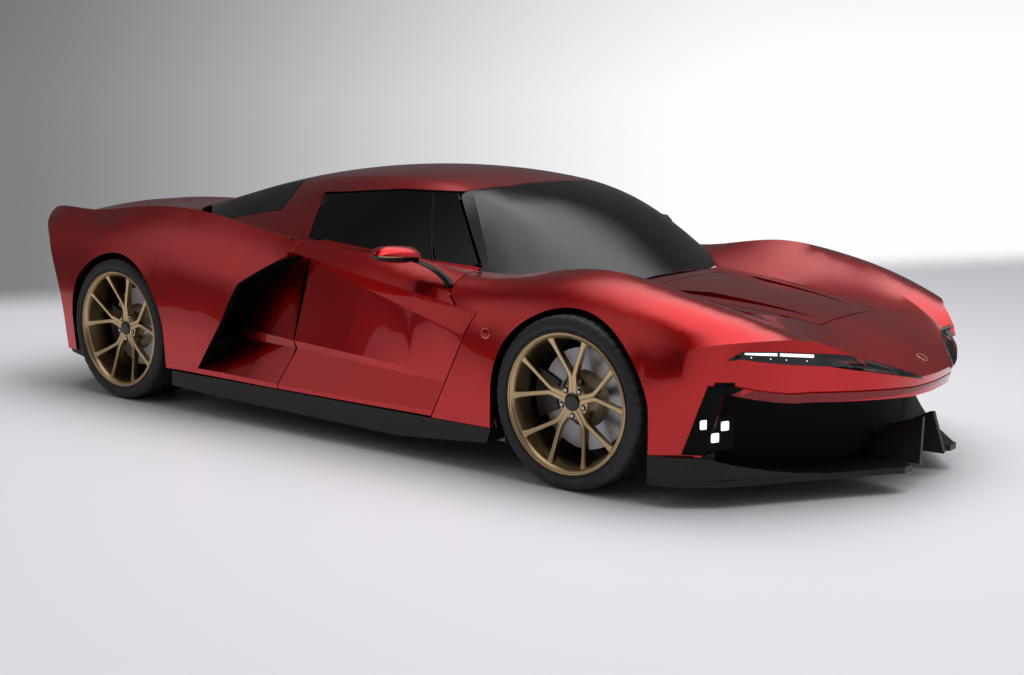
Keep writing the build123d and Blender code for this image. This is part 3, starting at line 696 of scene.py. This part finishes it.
# end, axle (x, z), outer face, tyre width, radius, barrel, flange
wheel_rows = [
    ("front", (1.235, 0.3325), 1.0, 0.255, 0.3325, 0.254, 0.2715),
    ("rear", (-1.465, 0.345), 1.008, 0.325, 0.345, 0.2667, 0.284),
]
for end, *sizes in wheel_rows:
    tyre = draw_tyre(end, *sizes)
    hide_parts("tyre_" + end + "_right")
    twin = across(f"wheel_{end}_left", tyre)
    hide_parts("tyre_" + end + "_left")

# %% [markdown]
# ## Wheels
#
# The forged wheel has a deep barrel, a double ring at the lip and five Y spokes whose ten arms meet
# the lip every 36 degrees. Barrel and lip are lathed. Each arm is lofted from ring to ring, so that
# it can taper, bend at the fork and dip with the dish, and is drawn at its own turn about the axle.
# Two arms side by side make each stem, with a fine groove between them.


# %% Draw a wheel
SPOKES, BOLT_CIRCLE, BOLT_SIZE = 5, 0.0525, 0.0078


def arm_rings(axle, face, hand, turn, barrel):
    """Sections of one arm: along the stem, out at the fork, and up to the lip."""
    grow = barrel / 0.254
    # along, across, half width, depth of its front, thickness
    rows = [
        (0.03, 0.0095, 0.0116, 0.056, 0.04), (0.066, 0.0085, 0.011368, 0.0545, 0.038),
        (0.092, 0.0082, 0.01044, 0.0525, 0.036), (0.108, 0.0105, 0.009976, 0.05, 0.034),
        (0.126, 0.019, 0.009512, 0.0462, 0.031), (0.158, 0.0352, 0.00928, 0.0385, 0.029),
        (0.19, 0.0518, 0.009628, 0.0305, 0.028), (0.216, 0.0655, 0.010672, 0.0235, 0.027),
        (0.2395, 0.0775, 0.01566, 0.0165, 0.026),
    ]
    middle = [(u * grow, v * grow * hand) for u, v, *_ in rows]
    rings = []
    for k, (u, v, half, front, thick) in enumerate(rows):
        before, after = middle[max(0, k - 1)], middle[min(len(rows) - 1, k + 1)]
        du, dv = after[0] - before[0], after[1] - before[1]
        size = hypot(du, dv)
        side = (-dv / size, du / size)
        section = [
            (-half, front + 0.009), (-half + 0.0012, front + 0.0025), (-half * 0.55, front),
            (half * 0.55, front), (half - 0.0012, front + 0.0025), (half, front + 0.009),
            (half * 0.7, front + thick), (-half * 0.7, front + thick),
        ]
        ring = []
        for w, depth in section:
            along, over = middle[k][0] + side[0] * w, middle[k][1] + side[1] * w
            x, z = along * cos(turn) - over * sin(turn), along * sin(turn) + over * cos(turn)
            ring.append((axle[0] + x, depth - face, axle[1] + z))
        rings.append(ring)
    return rings


def draw_wheel(end, axle, face, width, barrel, flange):
    """One wheel of the right side: ring, arms and hub as one piece, bolts in wells, and the cap."""
    body = f"wheel_{end}_right"
    back = width - 0.006

    def spun(name, rows, finish, steps, centre=axle, angle=28):
        return lathe(name, [(r, y - face) for r, y in rows], centre, finish, body, steps, angle)

    rim_steps = [
        (0.001, 0.0132), (0, 0.0112), (0, 0.0082), (0.0015, 0.0064), (0.0042, 0.006), (0.0062, 0.0072),
        (0.0072, 0.0108), (0.0096, 0.0112), (0.0108, 0.0088), (0.0132, 0.0084), (0.015, 0.01),
        (0.019, 0.0152),
    ]
    lip = [(barrel, 0.0155)] + [(flange - below, y) for below, y in rim_steps] + [
        (barrel - 0.0066, 0.024), (barrel - 0.0092, 0.04), (barrel - 0.0092, back - 0.02),
        (barrel - 0.008, back), (flange, back), (flange, back - 0.007), (barrel, back - 0.009),
    ]
    pieces = [spun("ring", lip, satin_gold, 120)]
    for k in range(SPOKES):
        for hand in (1, -1):
            turn = radians(90 + 72 * k)
            pieces.append(loft("arm", arm_rings(axle, face, hand, turn, barrel), satin_gold, body, angle=24))
    hub = [
        (0.034, 0.057), (0.037, 0.0555), (0.041, 0.057), (0.062, 0.0585), (0.0665, 0.0615), (0.068, 0.068),
        (0.066, 0.104), (0.034, 0.104),
    ]
    pieces.append(spun("hub", hub, satin_gold, 72))
    # The dull black wells round the bolts are painted shade in the bolt holes.
    well = [
        (0.0001, 0.056), (0.0102, 0.056), (0.0116, 0.0574), (0.0124, 0.0584), (0.0112, 0.0592),
        (0.0104, 0.06), (0.0104, 0.0615), (0.0001, 0.0615),
    ]
    holes = []
    for k in range(SPOKES):
        turn = radians(54 + 72 * k)
        x, z = axle[0] + BOLT_CIRCLE * cos(turn), axle[1] + BOLT_CIRCLE * sin(turn)
        holes.append(spun("well", well, black_and_painted_shade, 24, (x, z), 32))
        corners = [radians(60 * i + 15) for i in range(6)]
        bolt = [(x + BOLT_SIZE * cos(a), 0.0538 - face, z + BOLT_SIZE * sin(a)) for a in corners]
        holes.append(plate("bolt", bolt, (0, 0.006, 0), metals["bolt_steel"], body, round_off=0.0008))
    wheel = joined(f"wheel_star_{end}_right", pieces)
    bolts = joined(f"wheel_bolts_{end}_right", holes)
    cap = [
        (0.0001, 0.05), (0.018, 0.0502), (0.0245, 0.0508), (0.0252, 0.0514), (0.0262, 0.0514),
        (0.027, 0.0504), (0.0305, 0.0508), (0.0335, 0.0528), (0.0345, 0.056), (0.0345, 0.08),
        (0.0001, 0.08),
    ]
    cover = spun(f"wheel_cap_{end}_right", cap, gloss_black, 64, angle=30)
    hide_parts("rim_" + end + "_right")
    across(f"wheel_{end}_left", wheel, bolts, cover)
    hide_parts("rim_" + end + "_left")
    print(wheel.name, "has", len(wheel.data.polygons), "faces")


for end, axle, face, width, radius, barrel, flange in wheel_rows:
    draw_wheel(end, axle, face, width, barrel, flange)

# %% [markdown]
# ## Headlamps
#
# Each headlamp is a thin black slit that follows the brow of the nose, with two light bars near its
# outer end. Rays cast at the dressed wing lay a strip on it between an upper and a lower line, a few
# millimetres clear of the paint. The bars are strips along the same stations, so they bend with it.


# %% Lens, bars and reflectors
def lerp(a, b, share):
    """The point at a share of the way from a to b."""
    return tuple(a[i] + (b[i] - a[i]) * share for i in range(3))


brow = [
    (1.8471, -0.8579, 0.5483), (1.8669, -0.8409, 0.564), (1.8867, -0.8238, 0.5779),
    (1.9099, -0.8013, 0.5773), (1.9323, -0.7771, 0.5764), (1.9539, -0.7514, 0.5752),
    (1.9748, -0.7241, 0.5736), (1.9991, -0.688, 0.5698), (2.024, -0.6448, 0.5649),
    (2.0471, -0.5971, 0.5592), (2.0737, -0.556, 0.5545), (2.103, -0.5197, 0.5508),
    (2.121, -0.458, 0.5375), (2.139, -0.392, 0.5205), (2.1556, -0.3268, 0.5018),
    (2.1787, -0.2897, 0.4893), (2.1993, -0.2554, 0.4776), (2.2186, -0.2266, 0.4661),
    (2.235, -0.2, 0.4546), (2.2536, -0.1782, 0.4437), (2.2681, -0.1465, 0.4322),
]
lid = [
    (1.8471, -0.8579, 0.546), (1.8672, -0.8407, 0.5489), (1.8873, -0.8234, 0.5518),
    (1.9106, -0.8006, 0.5448), (1.933, -0.7763, 0.5406), (1.9547, -0.7504, 0.5357),
    (1.9756, -0.7229, 0.5307), (2.0, -0.6866, 0.5255), (2.0249, -0.6431, 0.5198),
    (2.0479, -0.5951, 0.5132), (2.0749, -0.5546, 0.5089), (2.0989, -0.5072, 0.5032),
    (2.1248, -0.4625, 0.4952), (2.1508, -0.4174, 0.4871), (2.1799, -0.3783, 0.478),
    (2.2004, -0.3366, 0.469), (2.2196, -0.3001, 0.4605), (2.2375, -0.269, 0.4519),
    (2.2504, -0.235, 0.443), (2.261, -0.1947, 0.4331), (2.2647, -0.1369, 0.4208),
]
proud = Vector((0.82, -0.52, 0.22)).normalized()
wing_skin = BVHTree.FromObject(skins["front_clam"], bpy.context.evaluated_depsgraph_get())


def across_slit(station):
    """The upper and lower ends of the slit at a station, which may lie between two rows."""
    near = min(int(station), len(brow) - 2)
    share = station - near
    return lerp(brow[near], brow[near + 1], share), lerp(lid[near], lid[near + 1], share)


def height_on_wing(point):
    """How far the wing lies outside a point, or nothing where no wing is met."""
    hit = wing_skin.ray_cast(point + proud * 0.05, -proud, 0.1)[0]
    return (hit - point).dot(proud) if hit else None


def laid(top, low, start, stop, lift, steps=8):
    """Points across the slit from share start to stop, laid on the wing and lifted clear of it."""
    ends = [height_on_wing(Vector(point)) or 0.0 for point in (top, low)]
    row = []
    for k in range(steps + 1):
        share = start + (stop - start) * k / steps
        point = Vector(lerp(top, low, share))
        level = ends[0] + (ends[1] - ends[0]) * share
        found = height_on_wing(point)
        if found is not None:
            level = max(level, found)
        row.append(point + proud * (level + lift))
    return row


def strip(name, stations, start, stop, front, back, finish):
    """A thin strip along the slit, from one station number to another."""
    rings = []
    for station in stations:
        row = laid(*across_slit(station), start, stop, front)
        behind = [p - proud * (front + back) for p in reversed(row)]
        rings.append(row + behind)
    return loft(name, rings, finish, "body", angle=50)


quarters = [k / 4 for k in range(4 * len(brow) - 3)]
lens = strip("headlamp_lens_right", quarters, 0.0, 1.0, 0.0026, 0.004, gloss_black)
bars = []
for first, last in ((2.15, 5.75), (6.05, 8.95)):
    stations = [first + (last - first) * k / 8 for k in range(9)]
    bars.append(strip("bar", stations, 0.09, 0.34, 0.004, 0.001, white_lamp))
    for share in (0.2, 0.8):
        spot = laid(*across_slit(first + (last - first) * share), 0.5, 0.62, 0.003, 1)[1]
        bpy.ops.mesh.primitive_cylinder_add(vertices=16, radius=0.0024, depth=0.0015, location=spot)
        dot = bpy.context.object
        dot.rotation_euler = proud.to_track_quat("Z", "Y").to_euler()
        bpy.ops.object.transform_apply()
        bpy.ops.object.mode_set(mode="EDIT")
        bars.append(close_up(dot, white_lamp, "body"))
lights = joined("light_bars_right", bars)
across("body", lens, lights)
print("headlamps have", len(bars), "lit pieces a side")

# %% [markdown]
# ## Daytime lamps
#
# Three small rounded squares glow inside each end of the mouth, on a black board that spans from the
# wing to the duct. Each square is a filled outline with rounded corners. A black strip covers the
# cut edge of the wing beside them.

# %% Edge strip
# rows of back x, back y, front x, front y, height
edge_rows = [
    (1.79, -0.895, 1.85, -0.852, 0.456), (1.776, -0.896, 1.829, -0.857, 0.419),
    (1.758, -0.897, 1.812, -0.857, 0.373), (1.744, -0.903, 1.799, -0.864, 0.329),
    (1.73, -0.91, 1.789, -0.87, 0.284), (1.716, -0.917, 1.781, -0.876, 0.24),
    (1.703, -0.923, 1.768, -0.883, 0.198),
]
outwards = Vector((0.58, -0.815, 0))
cheek_rings = []
for x0, y0, x1, y1, z in edge_rows:
    back, front = Vector((x0, y0, z)), Vector((x1 + 0.002, y1 - 0.001, z))
    corners = [(back, 0.0014), (front, 0.0014), (front, -0.03), (back, -0.002)]
    cheek_rings.append([point + outwards * out for point, out in corners])
# The strip's dull black is painted shade on the wing's edge beside the mouth.
cheek = loft("mouth_cheek_right", cheek_rings, black_and_painted_shade, "body", angle=50)
across("body", cheek)
print("edge strip has", len(cheek_rings), "sections")

# %% Board and squares
yaw = radians(23)
ahead = Vector((cos(yaw), -sin(yaw), 0))
beside = Vector((-sin(yaw), -cos(yaw), 0))
board_mid = Vector((1.7945, -0.844, 0.285))


def on_board(side, up, out):
    """A point beside, above and ahead of the board's middle."""
    return tuple(board_mid + beside * side + Vector((0, 0, up)) + ahead * out)


board_corners = [(-0.085, -0.075), (0.045, -0.075), (0.064, 0.05), (-0.085, 0.05)]
board_outline = [on_board(side, up, -0.006) for side, up in board_corners]
board = plate("lamp_board_right", board_outline, tuple(ahead * 0.004), black_and_painted_shade, "body", round_off=0.001)
SQUARE_HALF, SQUARE_ROUND = 0.0115, 0.0055
squares = []
for middle in ((1.7747, -0.8896, 0.3121), (1.811, -0.804, 0.298), (1.7942, -0.8437, 0.2589)):
    offset = Vector(middle) - board_mid
    side, up = offset.dot(beside), offset.z
    outline = []
    for corner in range(4):
        for k in range(5):
            a = radians(90 * corner + 22.5 * k)
            sideways = SQUARE_HALF * (1 if corner in (0, 3) else -1) + SQUARE_ROUND * cos(a)
            upward = SQUARE_HALF * (1 if corner in (0, 1) else -1) + SQUARE_ROUND * sin(a)
            outline.append(on_board(side + sideways, up + upward, -0.002))
    squares.append(plate("square", outline, tuple(ahead * 0.003), white_lamp, "body"))
marks = joined("day_lamps_right", squares)
across("body", board, marks)
print("each board has", len(squares), "lamps")

# %% [markdown]
# ## Splitter ramp
#
# A swept ramp joins the blade of the splitter to the foot of the wing. Its sections shrink forward
# along the blade's edge, and its inner side keeps off the steered tyre near the wheel arch.

# %% Ramp
BLADE_TOP = 0.1035
# along, out, height
ramp_rows = [
    (1.7, -0.944, 0.1885), (1.745, -0.909, 0.189), (1.8, -0.8665, 0.18), (1.86, -0.798, 0.156),
    (1.93, -0.701, 0.13), (2.0, -0.604, 0.113), (2.06, -0.52, 0.106),
]
rings = []
for x, y, z in ramp_rows:
    inside = Vector((-0.19, 0.135, 0.0)) * min(1.0, (x - 1.655) / 0.19)
    slope = Vector((x, y, 0.6 * z + 0.4 * BLADE_TOP)) + inside * 0.45
    foot = Vector((x, y, BLADE_TOP)) + inside
    rings.append([(x, y, 0.098), (x, y, z), slope, foot])
ramp = loft("splitter_ramp_right", rings, satin_black, "body", angle=50)
across("body", ramp)
print("ramp runs from", ramp_rows[0][0], "to", ramp_rows[-1][0])

# %% [markdown]
# ## Mirrors
#
# A mirror is a slim shell on an arm that leaves the door's shoulder. The shell is lofted through
# stations from its inner end to its rounded outer end; a fine gold line parts the red cap from the
# black tray. The frame keeps a plainer mirror for collision, and these pieces stand for it.

# %% Shell, line, glass and arm
# y, size, front x, rear x, low z, high z
mirror_rows = [
    (-0.903, 0.5, 0.456, 0.372, 0.804, 0.86), (-0.908, 0.8, 0.457, 0.371, 0.802, 0.862),
    (-0.922, 0.97, 0.456, 0.368, 0.8, 0.865), (-0.96, 1.0, 0.45, 0.357, 0.8, 0.87),
    (-1.0, 1.0, 0.44, 0.345, 0.801, 0.873), (-1.045, 1.0, 0.42, 0.338, 0.808, 0.87),
    (-1.075, 0.94, 0.404, 0.333, 0.815, 0.865), (-1.088, 0.78, 0.396, 0.331, 0.82, 0.861),
    (-1.094, 0.48, 0.392, 0.332, 0.824, 0.856),
]


def shell_ring(y, size, front, rear, low, high, start, stop):
    """Part of the mirror's section, from share start to stop of its outline, closed straight."""
    mid_x, mid_z = (front + rear) / 2, (low + high) / 2
    split = low + 0.4 * (high - low)
    outline = [
        (rear, split), (rear, high - 0.009), (rear + 0.004, high - 0.002), (rear + 0.018, high),
        (rear + 0.045, high - 0.001), (front - 0.022, high - 0.01), (front - 0.006, high - 0.022),
        (front, split + 0.004), (front, split), (front - 0.001, split - 0.0035),
        (front - 0.008, low + 0.009), (front - 0.03, low + 0.001), (rear + 0.02, low),
        (rear + 0.004, low + 0.004), (rear, low + 0.012), (rear, split - 0.0035),
    ]
    part = outline[start:stop]
    return [(mid_x + (x - mid_x) * size, y, mid_z + (z - mid_z) * size) for x, z in part]


cap_rings = [shell_ring(*row, 0, 9) for row in mirror_rows]
cap = loft("mirror_cap_right", cap_rings, red_paint, "door_right", angle=40)
tray_rings = [shell_ring(*row, 9, 16) for row in mirror_rows]
tray = loft("mirror_tray_right", tray_rings, gloss_black, "door_right", angle=40)
line_rows = [(y, size, front + 0.0006, *rest) for y, size, front, *rest in mirror_rows[1:-1]]
line_rings = [[shell_ring(*row, k, k + 1)[0] for k in (8, 9, 15, 0)] for row in line_rows]
gold_line = loft("mirror_line_right", line_rings, satin_gold, "door_right")
pane = [
    (0.3673, -0.925, 0.808), (0.3578, -0.96, 0.807), (0.3448, -1.0, 0.808), (0.3358, -1.045, 0.815),
    (0.3328, -1.072, 0.822), (0.3328, -1.072, 0.858), (0.3358, -1.045, 0.862), (0.3448, -1.0, 0.865),
    (0.3578, -0.96, 0.862), (0.3673, -0.925, 0.857),
]
glass = plate("mirror_glass_right", pane, (0.0015, 0, 0), mirror_glass, "door_right", angle=60)
# x, y, z, half width, half height
arm_line = [
    (0.425, -0.925, 0.806, 0.02, 0.006), (0.455, -0.918, 0.801, 0.019, 0.007),
    (0.5, -0.912, 0.786, 0.018, 0.008), (0.545, -0.906, 0.764, 0.018, 0.01),
    (0.578, -0.9, 0.738, 0.019, 0.012), (0.594, -0.893, 0.712, 0.021, 0.013),
]
arm_section = [(-1, -0.6, -0.6), (-1, 0.6, -0.6), (-0.3, 1, 0), (1, 0.6, 0.8), (1, -0.6, 0.8), (0.3, -1, 0)]
rings = []
for x, y, z, wide, tall in arm_line:
    rings.append([(x + dx * tall * 0.6, y + dy * wide, z + dz * tall) for dx, dy, dz in arm_section])
arm = loft("mirror_arm_right", rings, satin_black, "door_right", angle=45)
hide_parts("mirror_right")
across("door_left", cap, tray, gold_line, glass, arm)
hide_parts("mirror_left")
print("mirror has", len(cap.data.polygons) + len(tray.data.polygons), "shell faces")

# %% [markdown]
# ## Small trim
#
# The side glass has a fine upright where its front corner is fixed. A plain round medallion, bare of
# any sign, sits on each front wing and on the nose.


# %% Upright and medallions
def medallion(name, centre, normal, radius, body):
    """A shallow gold rim round a domed red disc, facing along a normal."""
    turn = Vector(normal).normalized().to_track_quat("Z", "Y")
    rim = [(0.88, -0.003), (0.88, 0.0012), (0.92, 0.0016), (0.97, 0.0014), (1.0, 0.0008), (1.0, -0.003)]
    dome = [(0.02, -0.003), (0.88, -0.003), (0.88, 0.0008), (0.6, 0.0013), (0.3, 0.0016), (0.02, 0.0017)]
    pieces = []
    for profile, finish in ((rim, satin_gold), (dome, red_paint)):
        rings = []
        for k in range(33):
            a = radians(360 * k / 32)
            spoke = Vector((radius * cos(a), radius * sin(a), 0))
            rings.append([Vector(centre) + turn @ (spoke * r + Vector((0, 0, h))) for r, h in profile])
        pieces.append(loft(name, rings, finish, body, angle=35, caps=False))
    return joined(name, pieces)


wing_disc = medallion("wing_medallion_right", (0.853, -0.9915, 0.562), (0.03, -1.0, 0.1), 0.021, "body")
across("body", wing_disc)
medallion("nose_medallion", (2.206, 0.0, 0.4795), (0.5, 0.0, 0.87), 0.024, "body")

post = [
    (0.398, -0.7865, 0.792), (0.34, -0.722, 0.848), (0.28, -0.6565, 0.906), (0.228, -0.59, 0.975),
    (0.176, -0.524, 1.049),
]
post_section = [(-0.0035, 0.0022), (0.0035, 0.0022), (0.0035, -0.004), (-0.0035, -0.004)]
rings = [[(x + a, y - 0.7 * b, z + 0.7 * b) for a, b in post_section] for x, y, z in post]
upright = loft("glass_upright_right", rings, gloss_black, "door_right", angle=60)
across("door_left", upright)
print("upright has", len(post), "sections")

# %% [markdown]
# ## Tail
#
# The opening in the tail holds an open grille of short six-sided tubes. They stand in staggered
# rows just behind the opening, follow the curve of the panel ahead of them, and leave room for the
# two pipes. Several hundred cells are quicker to write as points and faces than to draw one by one.

# %% Grille
ROW_STEP, COLUMN_STEP = 0.0338, 0.039
PIPE_SIDE, PIPE_HEIGHT, PIPE_ROOM = 0.11, 0.52, 0.076
# offset along the car and radius, round one wall of a cell
cell_section = [(-0.012, 0.0224), (-0.012, 0.02), (0.004, 0.0196), (0.004, 0.0224)]
cells = []
for row in range(8):
    z = 0.372 + ROW_STEP * row
    for column in range(-19, 20):
        y = COLUMN_STEP * (column + 0.5 * (row % 2))
        near_pipe = hypot(abs(y) - PIPE_SIDE, z - PIPE_HEIGHT) < PIPE_ROOM
        if abs(y) > 0.765 - 0.25 * max(0.0, 0.4 - z) or near_pipe:
            continue
        rise = z - 0.36
        x = -2.08 - 0.17 * rise - 0.3 * rise * rise + 0.105 * y * y
        rings = []
        for k in range(6):
            a = radians(60 * k + 30)
            rings.append([(x + dx, y + r * cos(a), z + r * sin(a)) for dx, r in cell_section])
        cells.append(rings)
points, faces = [], []
for rings in cells:
    base = len(points)
    for ring in rings:
        points += ring
    for k in range(6):
        for j in range(4):
            this, following = base + 4 * k, base + 4 * ((k + 1) % 6)
            onward = (j + 1) % 4
            faces.append((this + j, this + onward, following + onward, following + j))
skinned("tail_grille", points, faces, gloss_black, "body", 30)
print("grille has", len(cells), "cells")

# %% [markdown]
# ## Studio
#
# The paint is only as good as what it mirrors. A pale floor, a wide soft ceiling and a world made of
# a few soft-edged patches draw long highlights with no hard edge. The camera sees a plain room in
# place of the patches, and so does whatever looks through glass.

# %% Floor
floor_finish, tree, shader, coords = new_finish(
    "floor_finish", base_color=(0.7, 0.695, 0.725, 1), roughness=0.4,
)
bpy.ops.mesh.primitive_circle_add(vertices=96, radius=26, fill_type="NGON", location=(0, 0, 0))
floor = bpy.context.object
floor.name = "floor"
floor.data.materials.append(floor_finish)

# Far behind the car the floor melts into the room, for eye and mirror alike
inward = aligned(tree, coords, Vector((-0.84, 0.545, 0.0)))
melt = ranged(tree, inward, low=3.7, high=5.3, ease="SMOOTHSTEP")
clear = tree.nodes.new("ShaderNodeBsdfTransparent")
mix = add_node(tree, "ShaderNodeMixShader", {0: melt, 1: shader.outputs[0], 2: clear.outputs[0]})
tree.links.new(mix.outputs[0], tree.nodes["Material Output"].inputs["Surface"])
print("floor", floor.dimensions.x, "m across")

# %% Camera and lamp
camera_turn = (radians(80.442), 0, radians(38.354))
bpy.ops.object.camera_add(location=(4.3038, -5.1861, 1.4592), rotation=camera_turn)
camera = bpy.context.object
camera.data.lens = 50.03
camera.data.sensor_width = 36
bpy.context.scene.camera = camera

ceiling_place = Vector((0.4, 0.6, 4.8))
bpy.ops.object.light_add(type="AREA", location=ceiling_place)
ceiling = bpy.context.object
ceiling.name = "ceiling"
ceiling.data.shape = "RECTANGLE"
ceiling.data.size, ceiling.data.size_y = 6.5, 3.4
ceiling.data.energy = 210
ceiling.rotation_euler = (Vector((0.2, 0, 0)) - ceiling_place).to_track_quat("-Z", "Y").to_euler()
ceiling.visible_glossy = False
print("camera lens", round(camera.data.lens, 2), "and a ceiling of", ceiling.data.energy, "W")

# %% World
world = bpy.data.worlds.new("studio")
bpy.context.scene.world = world
world.use_nodes = True
tree = world.node_tree
back = tree.nodes["Background"]
way = tree.nodes.new("ShaderNodeTexCoord").outputs["Generated"]


def glow(direction, inner, outer, strength):
    """A soft-edged bright patch of the room round a direction, 0 outside its outer angle."""
    dot = aligned(tree, way, Vector(direction).normalized())
    edge, middle = cos(radians(outer)), cos(radians(inner))
    return ranged(tree, dot, low=edge, high=middle, stop=strength, ease="SMOOTHERSTEP")


patches = [
    glow((0.05, 0.3, 1.0), 14, 46, 1.9),
    glow((0.9, 0.55, 0.42), 10, 55, 0.6),
    glow((-0.6, -0.8, 0.75), 5, 36, 0.55),
]
level = patches[0]
for more in (*patches[1:], 0.09):
    level = reckon(tree, "ADD", level, more)

# The room as the camera sees it, straight or through glass: grey to the left, white to the right
axes = add_node(tree, "ShaderNodeSeparateXYZ", {"Vector": way})
along_wall = aligned(tree, way, Vector((0.784, 0.62, 0.0)))
wall = ranged(tree, along_wall, low=-0.38, high=0.22, start=0.16, stop=0.86, ease="SMOOTHSTEP")
height = ranged(tree, axes.outputs["Z"], high=0.2, start=1.25, stop=0.78)
room = reckon(tree, "MULTIPLY", wall, height, clamp=True)
ray = tree.nodes.new("ShaderNodeLightPath")
seen = reckon(tree, "MAXIMUM", ray.outputs["Is Camera Ray"], ray.outputs["Is Transmission Ray"])
both = blended(tree, seen, level, room)
back.inputs["Color"].default_value = (1.0, 0.985, 1.0, 1)
tree.links.new(both, back.inputs["Strength"])
bpy.context.scene.view_settings.view_transform = "Standard"
print("world with", len(patches), "patches")
